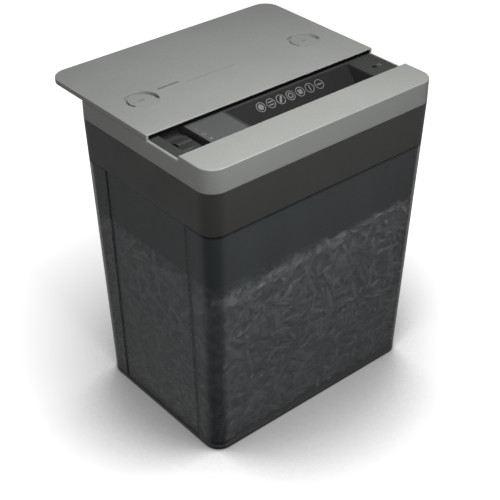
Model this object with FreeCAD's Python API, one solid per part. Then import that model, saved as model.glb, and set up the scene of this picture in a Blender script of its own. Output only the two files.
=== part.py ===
import FreeCAD, Part
import math
import os

# Desktop cross-cut paper shredder with a sliding lid over its throat and a smoked bin below.
# Millimetres. +X right as seen from the front, +Y to the rear, +Z up. The floor is z = 0, and x = y = 0
# is the middle of the box round the whole object with its lid slid back.
# In the helpers "b" is the distance behind the front face, so that depths read from the front.

# ---- driving dimensions: the outside
body_width = 270.0            # side to side, at the top
body_depth = 194.0            # front face to rear face
lid_top = 321.0               # top of the lid and of the front bar
deck_drop = 5.0               # control deck below the lid's top
band_bottom = 298.0           # silver cover meets dark housing here, and the walls start to lean in
seam_height = 254.7           # the head sits on the bin's rim here
wall_lean = 8.8               # how far each wall leans in between band_bottom and the floor
corner_radius = 17.0          # upright corners at the top
base_corner_radius = 16.0     # the same at the floor
bar_depth = 40.0              # front bar, front to back
lid_travel = 44.0             # lid from open, as it rests, to shut against the bar

# ---- walls and clearances
cover_wall = 2.5
housing_wall = 2.5
tub_wall = 2.2
slide_gap = 0.3               # between pieces that move past each other
running_gap = 0.05            # radial, a shaft in its bush
screw_gap = 0.05              # radial, a screw in its hole
seat_gap = 0.2                # all round a panel in its recess
overcut = 1.0                 # how far a cutting shape runs past the face it cuts
pilot_bite = 0.05             # radial, the air left round a thread in its pilot hole

# ---- bin
tray_bottom = 1.0
tray_top = 5.0                # a shadow groove runs between the tray and the tub above it
groove_height = 1.0
groove_depth = 1.0
tray_recess_depth = 2.2
tray_rim = 26.0
foot_radius = 8.0
foot_sunk = 0.8
foot_inset = 13.0             # foot centre from the tray's outer faces
base_screw_radius = 1.25
tray_screw_x = 60.0
tray_screw_inset = 55.0
panel_front = 36.0            # sunk panel in each side of the tub, between two grooves
panel_rear = 155.0
panel_step = 0.8
panel_groove = 1.6
panel_groove_depth = 1.3
pile_height = 188.0           # top of the shredded paper
pile_gap = 0.4
pile_shell = 2.3

# ---- head housing
skirt_bottom = 198.0          # the head reaches this far down inside the bin
skirt_gap = 0.6
skirt_wall = 2.0
floor_thickness = 2.5
ledge_thickness = 2.5
post_radius = 4.5
post_inset_x = 15.75
post_inset_b = 15.75
post_top = 296.0
key_b = 150.0                 # interlock key on the right side
key_width = 10.0
key_reach = 7.0
key_height = 8.7
channel_gap = 2.0
vent_count = 8
vent_pitch = 7.0
vent_width = 3.0
vent_height = 22.0
vent_bottom = 265.0
cord_x = -96.0                # cord outlet in the rear wall
cord_z = 277.0
cord_hole = 6.05
cord_bore = 3.6
plunger_radius = 2.0
plunger_collar = 3.6
spring_bottom = 265.0         # top of the plunger's collar
spring_top = 273.0            # underside of the housing's shelf
shelf_thickness = 2.0

# ---- throat and control deck
deck_thickness = 2.5
deck_ledge = 6.0
rim_round = 1.2               # outer edge of the cover's rim, beside the deck
throat_left = -50.7
throat_right = 100.3
throat_rear = 82.0
throat_end_lean = 10.0        # each end wall of the funnel leans in by this much
neck_front = 41.7
neck_width = 5.0
neck_top = 288.0
neck_bottom = 251.0
guide_wall = 2.0
mark_count = 7
mark_pitch = 12.0
mark_radius = 5.0
mark_down = 6.6               # centre of a mark, down the slope from its top edge
mark_first_x = -13.5
well_left = -122.0
well_right = -95.0
well_rear = 91.0
well_depth = 9.0
well_wall = 1.5
legend_right = -53.0
legend_rear = 83.0
legend_thickness = 0.8
legend_setback = 1.5          # from the bar's rear face to the plate
lamp_x = 114.8
lamp_b = 60.5
lamp_radius = 2.5
lamp_pipe_bottom = 303.0
knob_x = (well_left + well_right) / 2
knob_b = 66.0
knob_travel = 8.0             # each way from the middle
knob_stem = 3.0
board_left = 34.0
board_right = 102.0
board_front = 108.0
board_rear = 172.0
board_top = 284.6
board_thickness = 1.6
board_post_inset = 4.0
terminal_top = 294.0
lever_x = (throat_left + throat_right) / 2
lever_b = 58.0
lever_z = 280.0
lever_width = 3.0
lever_pin_radius = 1.5
lug_thickness = 2.5

# ---- lid
lid_skin_thickness = 1.2
lid_flange = 2.2
dish_radius = 16.0
dish_depth = 2.2
dish_floor = 1.0
grip_depth = 3.2              # a crescent pocket at each side of a dish
grip_width = 3.4
grip_reach = 7.0              # how far a pocket runs in front of the dish's middle
dish_x = 98.0
dish_setback = 56.8           # dish centre behind the lid's front edge
rail_x = 75.0
rail_end_clearance = 7.2      # between a rail and the cover's rear wall, lid open
rail_setback = 46.0           # rail's front end behind the lid's front edge
rail_neck = 4.0
rail_foot_width = 10.0
rail_foot_thickness = 2.0

# ---- cutting head
cutter_front_b = 29.5
cutter_spacing = 27.5
cutter_z = 236.0
disc_radius = 16.0
disc_thickness = 3.6
hub_radius = 10.5
disc_pitch = 7.8
disc_count = 20
disc_teeth = 4
tooth_depth = 3.0
first_disc_x = -54.0
hex_flats = 11.0
journal_radius = 5.0
plate_thickness = 2.0
left_plate_x = -58.0          # outer face
right_plate_x = 103.0         # inner face
plate_bottom = 202.5
rod_radius = 3.0
bush_radius = 7.5
finger_width = 3.4
finger_gap = 0.7

# ---- gear train, from the motor to the rear cutter
sync_teeth = 11
sync_module = cutter_spacing / sync_teeth
motor_teeth = 10
first_wheel_teeth = 50
first_module = 0.8
first_pinion_teeth = 12
second_wheel_teeth = 40
second_module = 1.0
second_pinion_teeth = 12
drive_teeth = 36
drive_module = 1.5
second_angle = 25.0           # direction from the rear cutter to the second gear, above level
first_angle = -25.0           # from the second gear to the first
motor_angle = 0.0             # from the first gear to the motor
pressure_angle = math.radians(20.0)
backlash = 0.16               # share of the module taken off each tooth
pin_radius = 3.0
motor_radius = 21.0
motor_length = 64.0
motor_shaft_radius = 2.5
motor_boss_radius = 7.0
motor_screw_b = 14.0

# ---- worked out
front = -(body_depth + lid_travel) / 2
half_width = body_width / 2
deck_top = lid_top - deck_drop
deck_bottom = deck_top - deck_thickness
skirt_lean = wall_lean * (band_bottom - skirt_bottom) / band_bottom
skirt_inset = skirt_lean + tub_wall + skirt_gap
ledge_bottom = seam_height + slide_gap
ledge_top = ledge_bottom + ledge_thickness
floor_top = skirt_bottom + floor_thickness
lean_radius = (corner_radius - base_corner_radius) * skirt_bottom / band_bottom
skirt_corner = base_corner_radius + lean_radius - tub_wall - skirt_gap
tub_bottom = tray_top + groove_height
tub_floor_top = tub_bottom + tub_wall
key_x_outer = half_width - tub_wall - wall_lean * (band_bottom - seam_height) / band_bottom
cutter_rear_b = cutter_front_b + cutter_spacing
neck_rear = neck_front + neck_width
slope = math.atan2(deck_bottom - neck_top, throat_rear - neck_rear)
lid_bottom = deck_top + slide_gap
lid_front = bar_depth + slide_gap + lid_travel
lid_rear = body_depth + lid_travel
lid_skin_bottom = lid_top - lid_skin_thickness
carrier_bottom = lid_bottom + 0.1
dish_b = lid_front + dish_setback
rail_front = lid_front + rail_setback
rail_length = body_depth - cover_wall - rail_end_clearance - rail_front
rail_foot_top = deck_bottom - slide_gap
rail_foot_bottom = rail_foot_top - rail_foot_thickness
hex_left = left_plate_x + plate_thickness + 0.5
hex_right = right_plate_x - 0.5
sync_x = right_plate_x + plate_thickness + 1.2
sync_width = 7.0
motor_left = left_plate_x + plate_thickness
motor_right = motor_left + motor_length
switch_top = deck_top - well_depth - well_wall


def offset_from(b, z, distance, degrees):
    """The point (b, z) that lies a distance away at an angle above level."""
    angle = math.radians(degrees)
    return b + distance * math.cos(angle), z + distance * math.sin(angle)


second_b, second_z = offset_from(
    cutter_rear_b, cutter_z, drive_module * (drive_teeth + second_pinion_teeth) / 2, second_angle)
first_b, first_z = offset_from(
    second_b, second_z, second_module * (second_wheel_teeth + first_pinion_teeth) / 2, first_angle)
motor_b, motor_z = offset_from(
    first_b, first_z, first_module * (first_wheel_teeth + motor_teeth) / 2, motor_angle)

# gear planes along the left side: outer face of the left plate, then three layers outwards
layer_gap = 2.0
layer_one = (left_plate_x - 9.0, left_plate_x - 3.0)
layer_two = (layer_one[0] - layer_gap - 7.0, layer_one[0] - layer_gap)
layer_three = (layer_two[0] - layer_gap - 10.0, layer_two[0] - layer_gap)
gear_plate_x = layer_three[0] - 4.0


# ---- shape helpers

def point(x, b, z):
    return FreeCAD.Vector(x, front + b, z)


def box(x_low, x_high, b_low, b_high, z_low, z_high):
    return Part.makeBox(x_high - x_low, b_high - b_low, z_high - z_low, point(x_low, b_low, z_low))


def post(radius, x, b, z_low, z_high):
    return Part.makeCylinder(radius, z_high - z_low, point(x, b, z_low))


def rod(radius, x_low, x_high, b, z):
    return Part.makeCylinder(radius, x_high - x_low, point(x_low, b, z), FreeCAD.Vector(1, 0, 0))


def bar_along_depth(radius, b_low, b_high, x, z):
    return Part.makeCylinder(radius, b_high - b_low, point(x, b_low, z), FreeCAD.Vector(0, 1, 0))


def profile_along_x(corners, x_low, x_high):
    """A prism along X whose section is a polygon of (b, z) corners."""
    outline_points = [point(x_low, b, z) for b, z in corners]
    face = Part.Face(Part.makePolygon(outline_points + outline_points[:1]))
    return face.extrude(FreeCAD.Vector(x_high - x_low, 0, 0))


def outline(half, b_low, b_high, z, front_radius, rear_radius):
    """A level rectangle with its own front and rear corner radii; a radius of 0 is a sharp corner."""
    corners = [
        (half - front_radius, b_low + front_radius, front_radius, 270),
        (half - rear_radius, b_high - rear_radius, rear_radius, 0),
        (rear_radius - half, b_high - rear_radius, rear_radius, 90),
        (front_radius - half, b_low + front_radius, front_radius, 180),
    ]
    turns = []
    for x, b, radius, start in corners:
        angles = [math.radians(start + step) for step in (0, 45, 90)]
        turns.append([point(x + radius * math.cos(a), b + radius * math.sin(a), z) for a in angles])
    edges = []
    for turn, following, corner in zip(turns, turns[1:] + turns[:1], corners):
        if corner[2] > 0:
            edges.append(Part.Arc(*turn).toShape())
        edges.append(Part.makeLine(turn[2], following[0]))
    return Part.Wire(edges)


def slab(half, b_low, b_high, z_low, z_high, front_radius, rear_radius):
    face = Part.Face(outline(half, b_low, b_high, z_low, front_radius, rear_radius))
    return face.extrude(FreeCAD.Vector(0, 0, z_high - z_low))


def body_slab(z_low, z_high, offset):
    """A straight block of the body's plan, pulled in by an offset."""
    radius = corner_radius - offset
    return slab(half_width - offset, offset, body_depth - offset, z_low, z_high, radius, radius)


def leaning_block(z_low, z_high, offset):
    """A block between two heights whose walls lean as the body's do, pulled in by an offset."""
    wires = []
    for z in (z_low, z_high):
        inset = offset + wall_lean * (band_bottom - z) / band_bottom
        radius = base_corner_radius + (corner_radius - base_corner_radius) * z / band_bottom
        radius = max(radius - offset, 1.0)
        wires.append(outline(half_width - inset, inset, body_depth - inset, z, radius, radius))
    return Part.makeLoft(wires, True, True)


def cut_all(shape, tools):
    for tool in tools:
        shape = shape.cut(tool)
    return shape


def fuse_all(shape, additions):
    for addition in additions:
        shape = shape.fuse(addition)
    return shape.removeSplitter()


def group(shapes):
    """Separate solids that share one node."""
    return Part.makeCompound(shapes)


def screw(x, b, head_top, length, radius, head_radius=2.4, head_height=1.5):
    """A pan-head screw driven upwards: its head hangs below head_top."""
    head = post(head_radius, x, b, head_top - head_height, head_top)
    shank = post(radius, x, b, head_top, head_top + length)
    return head.fuse(shank)


def rounded_top(shape, radius, z):
    """Round the edges of a shape that lie in its top face."""
    edges = [e for e in shape.Edges if all(abs(v.Point.z - z) < 1e-6 for v in e.Vertexes)]
    return shape.makeFillet(radius, edges)


# ---- bin

def foot_places():
    inset = wall_lean + foot_inset
    for x in (inset - half_width, half_width - inset):
        for b in (inset, body_depth - inset):
            yield x, b


def tray_screw_places():
    for x in (-tray_screw_x, tray_screw_x):
        for b in (tray_screw_inset, body_depth - tray_screw_inset):
            yield x, b


def make_bin_tub():
    tub = leaning_block(tub_bottom, seam_height, 0)
    tub = tub.cut(leaning_block(tub_floor_top, seam_height + overcut, tub_wall))
    low = tub_bottom - overcut
    high = seam_height + overcut
    panel_limit = leaning_block(low, high, panel_step)
    groove_limit = leaning_block(low, high, panel_groove_depth)
    sunk = [(panel_front, panel_rear, panel_limit), (panel_front, panel_front + panel_groove, groove_limit),
            (panel_rear - panel_groove, panel_rear, groove_limit)]
    for b_low, b_high, limit in sunk:
        across = box(-half_width - overcut, half_width + overcut, b_low, b_high, low, high)
        tub = tub.cut(across.cut(limit))
    key = box(key_x_outer - key_reach, key_x_outer + tub_wall / 2, key_b - key_width / 2,
              key_b + key_width / 2, seam_height - key_height, seam_height)
    tub = fuse_all(tub, [key])
    pilot_top = tub_bottom + tub_wall - 0.4
    pilots = [post(base_screw_radius + pilot_bite, x, b, low, pilot_top) for x, b in tray_screw_places()]
    return cut_all(tub, pilots)


def make_bin_base():
    tray = leaning_block(tray_bottom, tray_top, 0)
    neck = leaning_block(tray_top, tub_bottom, groove_depth)
    tray = fuse_all(tray, [neck])
    recess = leaning_block(tray_bottom - overcut, tray_bottom + tray_recess_depth, tray_rim)
    sockets = [post(foot_radius + screw_gap, x, b, tray_bottom - overcut, tray_bottom + foot_sunk)
               for x, b in foot_places()]
    holes = [post(base_screw_radius + 3 * screw_gap, x, b, tray_bottom, tub_bottom + overcut)
             for x, b in tray_screw_places()]
    return cut_all(tray, [recess] + sockets + holes)


def make_base_feet():
    return group([post(foot_radius, x, b, 0, tray_bottom + foot_sunk) for x, b in foot_places()])


def make_base_screws():
    head_top = tray_bottom + tray_recess_depth
    length = tub_bottom + tub_wall - 0.6 - head_top
    return group([screw(x, b, head_top, length, base_screw_radius) for x, b in tray_screw_places()])


def make_shredded_paper():
    """The heap's outside as a thin inverted shell, which weighs what loose shreds weigh."""
    bottom = tub_floor_top + slide_gap
    heap = leaning_block(bottom, pile_height, tub_wall + pile_gap)
    return heap.cut(leaning_block(bottom - overcut, pile_height - pile_shell,
                                  tub_wall + pile_gap + pile_shell))


# ---- head housing and cover

def cover_post_places():
    for x in (post_inset_x - half_width, half_width - post_inset_x):
        for b in (post_inset_b, body_depth - post_inset_b):
            yield x, b


def skirt_slab(z_low, z_high, offset):
    inset = skirt_inset + offset
    radius = skirt_corner - offset
    return slab(half_width - inset, inset, body_depth - inset, z_low, z_high, radius, radius)


def chassis_screw_places():
    for b in (95.0, 150.0):
        yield left_plate_x - 6.0, b
    for b in (30.0, 64.0):
        yield right_plate_x + plate_thickness + 6.0, b


def plunger_x():
    return key_x_outer - key_reach / 2 - 0.5


def make_head_housing():
    band = leaning_block(ledge_bottom, band_bottom, 0)
    band = band.cut(leaning_block(ledge_top, band_bottom, housing_wall))
    band = band.cut(body_slab(band_bottom - 0.5, band_bottom + overcut, housing_wall))
    skirt = skirt_slab(skirt_bottom, ledge_top, 0)
    housing = band.fuse(skirt)
    housing = housing.cut(skirt_slab(floor_top, ledge_top + overcut, skirt_wall))
    channel_depth = key_reach + channel_gap
    channel_half = key_width / 2 + channel_gap
    skirt_x = half_width - skirt_inset
    channel_wall = box(skirt_x - channel_depth - skirt_wall, skirt_x, key_b - channel_half - skirt_wall,
                       key_b + channel_half + skirt_wall, skirt_bottom, ledge_top)
    channel = box(skirt_x - channel_depth, skirt_x + overcut, key_b - channel_half,
                  key_b + channel_half, skirt_bottom - overcut, ledge_bottom)
    shelf = box(plunger_x() - 6.0, half_width - housing_wall, key_b - 6.0, key_b + 6.0, spring_top,
                spring_top + shelf_thickness)
    posts = [post(post_radius, x, b, skirt_bottom, post_top) for x, b in cover_post_places()]
    housing = fuse_all(housing, [channel_wall, shelf] + posts)
    tools = [channel]
    tools.append(box(first_disc_x - 1.5, right_plate_x - 1.5, cutter_front_b - 13.0,
                     cutter_rear_b + 13.0, skirt_bottom - overcut, floor_top + overcut))
    for x, b in cover_post_places():
        tools.append(post(1.7, x, b, skirt_bottom - overcut, post_top + overcut))
        tools.append(post(3.3, x, b, skirt_bottom - overcut, post_top - 10.0))
    tools += [post(1.55, x, b, skirt_bottom - overcut, floor_top + overcut)
              for x, b in chassis_screw_places()]
    tools.append(post(plunger_radius + slide_gap, plunger_x(), key_b, ledge_bottom - overcut,
                      spring_top + shelf_thickness + overcut))
    tools.append(bar_along_depth(cord_hole, body_depth - 8.0, body_depth + overcut, cord_x, cord_z))
    first_vent = -vent_pitch * (vent_count - 1) / 2
    for i in range(vent_count):
        x = first_vent + i * vent_pitch
        tools.append(box(x - vent_width / 2, x + vent_width / 2, body_depth - 8.0,
                         body_depth + overcut, vent_bottom, vent_bottom + vent_height))
    return cut_all(housing, tools)


def make_cord_grommet():
    wall_outer = body_depth - wall_lean * (band_bottom - cord_z) / band_bottom
    wall_inner = wall_outer - housing_wall
    sleeve = bar_along_depth(cord_hole - screw_gap, wall_inner - 1.5, wall_outer + 2.0, cord_x, cord_z)
    outer_flange = bar_along_depth(8.5, wall_outer + 0.4, wall_outer + 2.0, cord_x, cord_z)
    inner_flange = bar_along_depth(8.5, wall_inner - 2.0, wall_inner - 0.4, cord_x, cord_z)
    grommet = fuse_all(sleeve, [outer_flange, inner_flange])
    return grommet.cut(bar_along_depth(cord_bore, wall_inner - 5.0, wall_outer + 5.0, cord_x, cord_z))


def make_head_cover():
    block = body_slab(band_bottom, deck_top, 0)
    block = rounded_top(block, rim_round, deck_top)
    bar = slab(half_width, 0, bar_depth, deck_top - 2 * rim_round, lid_top, corner_radius, 0)
    bar = rounded_top(bar, 1.0, lid_top)
    cover = fuse_all(block, [bar])
    bar_cavity = slab(half_width - cover_wall, cover_wall, bar_depth - cover_wall,
                      band_bottom - overcut, lid_top - cover_wall, corner_radius - cover_wall, 0)
    side = half_width - cover_wall
    rear = body_depth - cover_wall
    radius = corner_radius - cover_wall
    cavity = slab(side, bar_depth, rear, band_bottom - overcut, deck_bottom - 2.5, 0, radius)
    seat = slab(side - deck_ledge, bar_depth, rear - deck_ledge, deck_bottom - 5.0,
                deck_top + overcut, 0, radius - deck_ledge)
    pocket = slab(side, bar_depth, rear, deck_bottom, deck_top + overcut, 0, radius)
    cover = cut_all(cover, [bar_cavity, cavity, seat, pocket])
    bosses = []
    for x, b in cover_post_places():
        top = lid_top - cover_wall if b < bar_depth else deck_bottom
        bosses.append(post(post_radius, x, b, post_top, top))
    cover = fuse_all(cover, bosses)
    holes = [post(1.4, x, b, post_top - overcut, post_top + 12.0) for x, b in cover_post_places()]
    holes += [post(1.2, x, b, deck_bottom - 4.0, deck_bottom + overcut) for x, b in deck_screw_places()]
    return cut_all(cover, holes)


def deck_screw_places():
    for x in (-1, 1):
        for b in (60.0, 165.0):
            yield x * (half_width - cover_wall - 3.0), b


def make_cover_screws():
    return group([screw(x, b, post_top - 10.0, 20.0, 1.35, 3.0, 2.2) for x, b in cover_post_places()])


def make_deck_screws():
    """The same small screw holds the deck to the cover and the board to the deck's posts."""
    places = [(x, b, deck_bottom - 2.5) for x, b in deck_screw_places()]
    places += [(x, b, board_top - board_thickness) for x, b in board_post_places()]
    return group([screw(x, b, head_top, 4.0, 1.15, 2.2) for x, b, head_top in places])


# ---- control deck, throat and switch

def board_post_places():
    for x in (board_left + board_post_inset, board_right - board_post_inset):
        for b in (board_front + board_post_inset, board_rear - board_post_inset):
            yield x, b


def make_control_deck():
    side = half_width - cover_wall - seat_gap
    radius = corner_radius - cover_wall - seat_gap
    rear = body_depth - cover_wall - seat_gap
    deck = slab(side, bar_depth, rear, deck_bottom, deck_top, 0, radius)
    well_bottom = deck_top - well_depth
    pocket = box(well_left - well_wall, well_right + well_wall, bar_depth, well_rear + well_wall,
                 well_bottom - well_wall, deck_bottom)
    posts = [post(3.2, x, b, board_top, deck_bottom) for x, b in board_post_places()]
    deck = fuse_all(deck, [pocket] + posts)
    tools = [box(well_left, well_right, bar_depth + well_wall, well_rear, well_bottom, deck_top + overcut)]
    tools.append(box(well_left, well_right, bar_depth, bar_depth + 2 * well_wall, deck_bottom,
                     deck_top + overcut))
    half_slot = knob_stem / 2 + 2 * slide_gap
    slot_reach = knob_stem / 2 + knob_travel + 1.5
    tools.append(box(knob_x - half_slot, knob_x + half_slot, knob_b - slot_reach, knob_b + slot_reach,
                     well_bottom - 2 * well_wall, well_bottom + overcut))
    tools.append(box(throat_left, throat_right, bar_depth, throat_rear, deck_bottom - overcut,
                     deck_top + overcut))
    tools.append(box(well_right, legend_right, bar_depth + legend_setback, legend_rear,
                     deck_top - legend_thickness, deck_top + overcut))
    for x in (-rail_x, rail_x):
        half_slot = rail_neck / 2 + slide_gap
        tools.append(box(x - half_slot, x + half_slot, rail_front - lid_travel - slide_gap,
                         rail_front + rail_length + slide_gap, deck_bottom - overcut, deck_top + overcut))
    tools.append(post(lamp_radius + screw_gap, lamp_x, lamp_b, deck_bottom - overcut, deck_top + overcut))
    tools += [post(1.25, x, b, board_top - overcut, board_top + 8.0) for x, b in board_post_places()]
    tools += [post(1.2, x, b, deck_bottom - overcut, deck_bottom + 1.6) for x, b in deck_screw_places()]
    return cut_all(deck, tools)


def make_legend_plate():
    return box(well_right + seat_gap, legend_right - seat_gap, bar_depth + legend_setback + seat_gap,
               legend_rear - seat_gap, deck_top - legend_thickness, deck_top)


def funnel(grow):
    """The funnel's hollow, or with some growth its outside: four leaning sides above a straight neck."""
    rectangles = []
    lean_in = throat_end_lean
    for z, end_lean, rear in ((deck_bottom, 0.0, throat_rear), (neck_top, lean_in, neck_rear)):
        left = throat_left + end_lean - grow
        right = throat_right - end_lean + grow
        corners = [point(left, neck_front - min(grow, 1.4), z), point(right, neck_front - min(grow, 1.4), z),
                   point(right, rear + grow * 1.2, z), point(left, rear + grow * 1.2, z)]
        rectangles.append(Part.makePolygon(corners + corners[:1]))
    hopper = Part.makeLoft(rectangles, True, True)
    neck = box(throat_left + lean_in - grow, throat_right - lean_in + grow,
               neck_front - min(grow, 1.4), neck_rear + grow, neck_bottom - (0 if grow else overcut),
               neck_top)
    return hopper.fuse(neck)


def make_throat_guide():
    flange = box(throat_left - 7.0, throat_right + 5.0, neck_front - 1.4, throat_rear + 2.4,
                 deck_bottom - 2.0, deck_bottom)
    lugs = [box(lever_x + x, lever_x + x + lug_thickness, lever_b - 4.0, lever_b + 4.0, lever_z - 5.0,
                lever_z + 14.0) for x in (-6.0, 3.5)]
    guide = fuse_all(funnel(guide_wall), [flange] + lugs)
    guide = guide.cut(funnel(0))
    guide = guide.cut(box(lever_x - 2.5, lever_x + 2.5, neck_rear - 1.0, neck_rear + 4.0, 258.0, 277.0))
    return guide.cut(rod(lever_pin_radius, lever_x - 8.0, lever_x + 8.0, lever_b, lever_z))


def make_guide_marks():
    """A row of plain rings, each round a dot, on the funnel's slope."""
    normal = FreeCAD.Vector(0, -math.sin(slope), math.cos(slope))
    marks = []
    for i in range(mark_count):
        centre = point(mark_first_x + i * mark_pitch, throat_rear - mark_down * math.cos(slope),
                       deck_bottom - mark_down * math.sin(slope))
        disc = Part.makeCylinder(mark_radius, 0.3, centre, normal)
        marks.append(disc.cut(Part.makeCylinder(mark_radius - 1.0, 0.3, centre, normal)))
        marks.append(Part.makeCylinder(mark_radius - 2.6, 0.3, centre, normal))
    return group(marks)


def make_switch_knob():
    apron_bottom = deck_top - well_depth + slide_gap
    apron_top = apron_bottom + 1.7
    left = well_left + 1.0
    right = well_right - 1.0
    apron = box(left, right, knob_b - 16.0, knob_b + 15.0, apron_bottom, apron_top)
    ridge_top = deck_top - 1.2
    ridge = profile_along_x(
        [(knob_b - 5.0, apron_top), (knob_b - 4.0, ridge_top), (knob_b - 0.5, ridge_top),
         (knob_b + 13.0, apron_top + 0.6), (knob_b + 13.0, apron_top)], left + 3.0, right - 7.0)
    half_stem = knob_stem / 2
    stem = box(knob_x - half_stem, knob_x + half_stem, knob_b - half_stem, knob_b + half_stem,
               apron_bottom - 5.0, apron_bottom)
    return fuse_all(apron, [ridge, stem])


def make_slide_switch():
    case_bottom = switch_top - 8.0
    case = box(knob_x - 9.0, knob_x + 9.0, knob_b - 15.0, knob_b + 15.0, case_bottom, switch_top)
    groove_half = knob_stem / 2 + slide_gap
    groove_reach = knob_stem / 2 + knob_travel + 1.5
    groove = box(knob_x - groove_half, knob_x + groove_half, knob_b - groove_reach, knob_b + groove_reach,
                 switch_top - 4.5, switch_top + overcut)
    terminals = [box(knob_x - 1.5, knob_x + 1.5, knob_b + b - 0.4, knob_b + b + 0.4, case_bottom - 5.0,
                     case_bottom) for b in (-knob_travel, 0.0, knob_travel)]
    return fuse_all(case.cut(groove), terminals)


def make_light_pipe():
    stem = post(lamp_radius, lamp_x, lamp_b, lamp_pipe_bottom, deck_top)
    return fuse_all(stem, [post(lamp_radius + 1.0, lamp_x, lamp_b, lamp_pipe_bottom, lamp_pipe_bottom + 3.0)])


def make_status_lamp():
    bulb_bottom = lamp_pipe_bottom - 6.0
    bulb = post(2.4, lamp_x, lamp_b, bulb_bottom, lamp_pipe_bottom - slide_gap)
    legs = [box(lamp_x + x - 0.3, lamp_x + x + 0.3, lamp_b - 0.3, lamp_b + 0.3, bulb_bottom - 9.0,
                bulb_bottom) for x in (-1.3, 1.3)]
    return fuse_all(bulb, legs)


# ---- sliding lid

def make_lid_skin():
    top = slab(half_width, lid_front, lid_rear, lid_bottom, lid_top, 0, corner_radius)
    top = rounded_top(top, 0.7, lid_top)
    under = slab(half_width - lid_flange, lid_front - overcut, lid_rear - lid_flange,
                 lid_bottom - overcut, lid_skin_bottom, 0, corner_radius - lid_flange)
    skin = top.cut(under)
    cups = [post(dish_radius + 2.0, x, dish_b, lid_top - grip_depth - dish_floor, lid_skin_bottom)
            for x in (-dish_x, dish_x)]
    skin = fuse_all(skin, cups)
    rise = profile_along_x(
        [(dish_b - dish_radius, lid_top), (dish_b + dish_radius, lid_top - dish_depth),
         (dish_b + dish_radius, lid_top + overcut), (dish_b - dish_radius, lid_top + overcut)],
        -half_width, half_width)
    hollows = []
    for x in (-dish_x, dish_x):
        hollows.append(post(dish_radius, x, dish_b, lid_top - dish_depth - overcut,
                            lid_top + overcut).common(rise))
        hollows += grip_pockets(x)
    return cut_all(skin, hollows)


def grip_pockets(x):
    """A crescent at each side of a dish: its own circle less the same circle moved inwards."""
    whole = post(dish_radius, x, dish_b, lid_top - grip_depth, lid_top + overcut)
    rear = box(x - dish_radius, x + dish_radius, dish_b - grip_reach, dish_b + dish_radius,
               lid_top - grip_depth, lid_top + overcut)
    pockets = []
    for shift in (grip_width, -grip_width):
        pocket = whole.cut(post(dish_radius, x + shift, dish_b, lid_top - grip_depth - overcut,
                                lid_top + 2 * overcut))
        pockets.append(pocket.common(rear))
    return pockets


def runner_screw_places():
    for x in (-rail_x, rail_x):
        for b in (rail_front + 10.0, rail_front + rail_length - 10.0):
            yield x, b


def make_lid_carrier():
    inset = lid_flange + seat_gap
    carrier = slab(half_width - inset, lid_front + seat_gap, lid_rear - inset, carrier_bottom,
                   lid_skin_bottom, 0, corner_radius - inset)
    tools = [post(dish_radius + 2.0 + seat_gap, x, dish_b, carrier_bottom - overcut,
                  lid_skin_bottom + overcut) for x in (-dish_x, dish_x)]
    for x in (-rail_x, rail_x):
        half_neck = rail_neck / 2 + screw_gap
        tools.append(box(x - half_neck, x + half_neck, rail_front - screw_gap,
                         rail_front + rail_length + screw_gap, carrier_bottom - overcut,
                         carrier_bottom + 1.0))
    tools += [post(1.05, x, b, carrier_bottom, lid_skin_bottom - 0.6) for x, b in runner_screw_places()]
    return cut_all(carrier, tools)


def make_lid_runners():
    runners = []
    for x in (-rail_x, rail_x):
        neck = box(x - rail_neck / 2, x + rail_neck / 2, rail_front, rail_front + rail_length,
                   rail_foot_top, carrier_bottom + 1.0)
        foot = box(x - rail_foot_width / 2, x + rail_foot_width / 2, rail_front,
                   rail_front + rail_length, rail_foot_bottom, rail_foot_top)
        runner = fuse_all(neck, [foot])
        holes = [post(1.05, px, b, rail_foot_bottom - overcut, carrier_bottom + 2.0)
                 for px, b in runner_screw_places() if px == x]
        runners.append(cut_all(runner, holes))
    return group(runners)


def make_runner_screws():
    return group([screw(x, b, rail_foot_bottom, 7.4, 1.0, 2.0, 1.2) for x, b in runner_screw_places()])


# ---- cutting head

def make_cutter_shaft(b, left_end, right_end):
    hexagon_radius = hex_flats / math.sqrt(3)
    corners = [(b + hexagon_radius * math.cos(math.radians(a)), cutter_z + hexagon_radius
                * math.sin(math.radians(a))) for a in range(0, 360, 60)]
    core = profile_along_x(corners, hex_left, hex_right)
    return fuse_all(core, [rod(journal_radius, left_end, right_end, b, cutter_z)])


def make_cutter_discs(b, first_x, hub_side, turn_step):
    """Toothed discs on hex bores, each with a spacer hub towards the next one."""
    hexagon_radius = (hex_flats + 2 * running_gap) / math.sqrt(3)
    discs = []
    for i in range(disc_count):
        x = first_x + i * disc_pitch
        disc = rod(disc_radius, x, x + disc_thickness, b, cutter_z)
        turn = i * turn_step
        for tooth in range(disc_teeth):
            notch = Part.makeBox(disc_thickness + 2, tooth_depth * 2, tooth_depth * 2,
                                 point(x - 1, b + disc_radius - tooth_depth, cutter_z))
            notch.rotate(point(x, b + disc_radius - tooth_depth, cutter_z), FreeCAD.Vector(1, 0, 0), -35)
            notch.rotate(point(x, b, cutter_z), FreeCAD.Vector(1, 0, 0), turn + tooth * 360 / disc_teeth)
            disc = disc.cut(notch)
        hub_x = x + disc_thickness if hub_side > 0 else x - (disc_pitch - disc_thickness)
        disc = disc.fuse(rod(hub_radius, hub_x, hub_x + disc_pitch - disc_thickness, b, cutter_z))
        corners = [(b + hexagon_radius * math.cos(math.radians(a)), cutter_z + hexagon_radius
                    * math.sin(math.radians(a))) for a in range(0, 360, 60)]
        disc = disc.cut(profile_along_x(corners, x - disc_pitch, x + 2 * disc_pitch))
        discs.append(disc)
    return group(discs)


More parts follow.
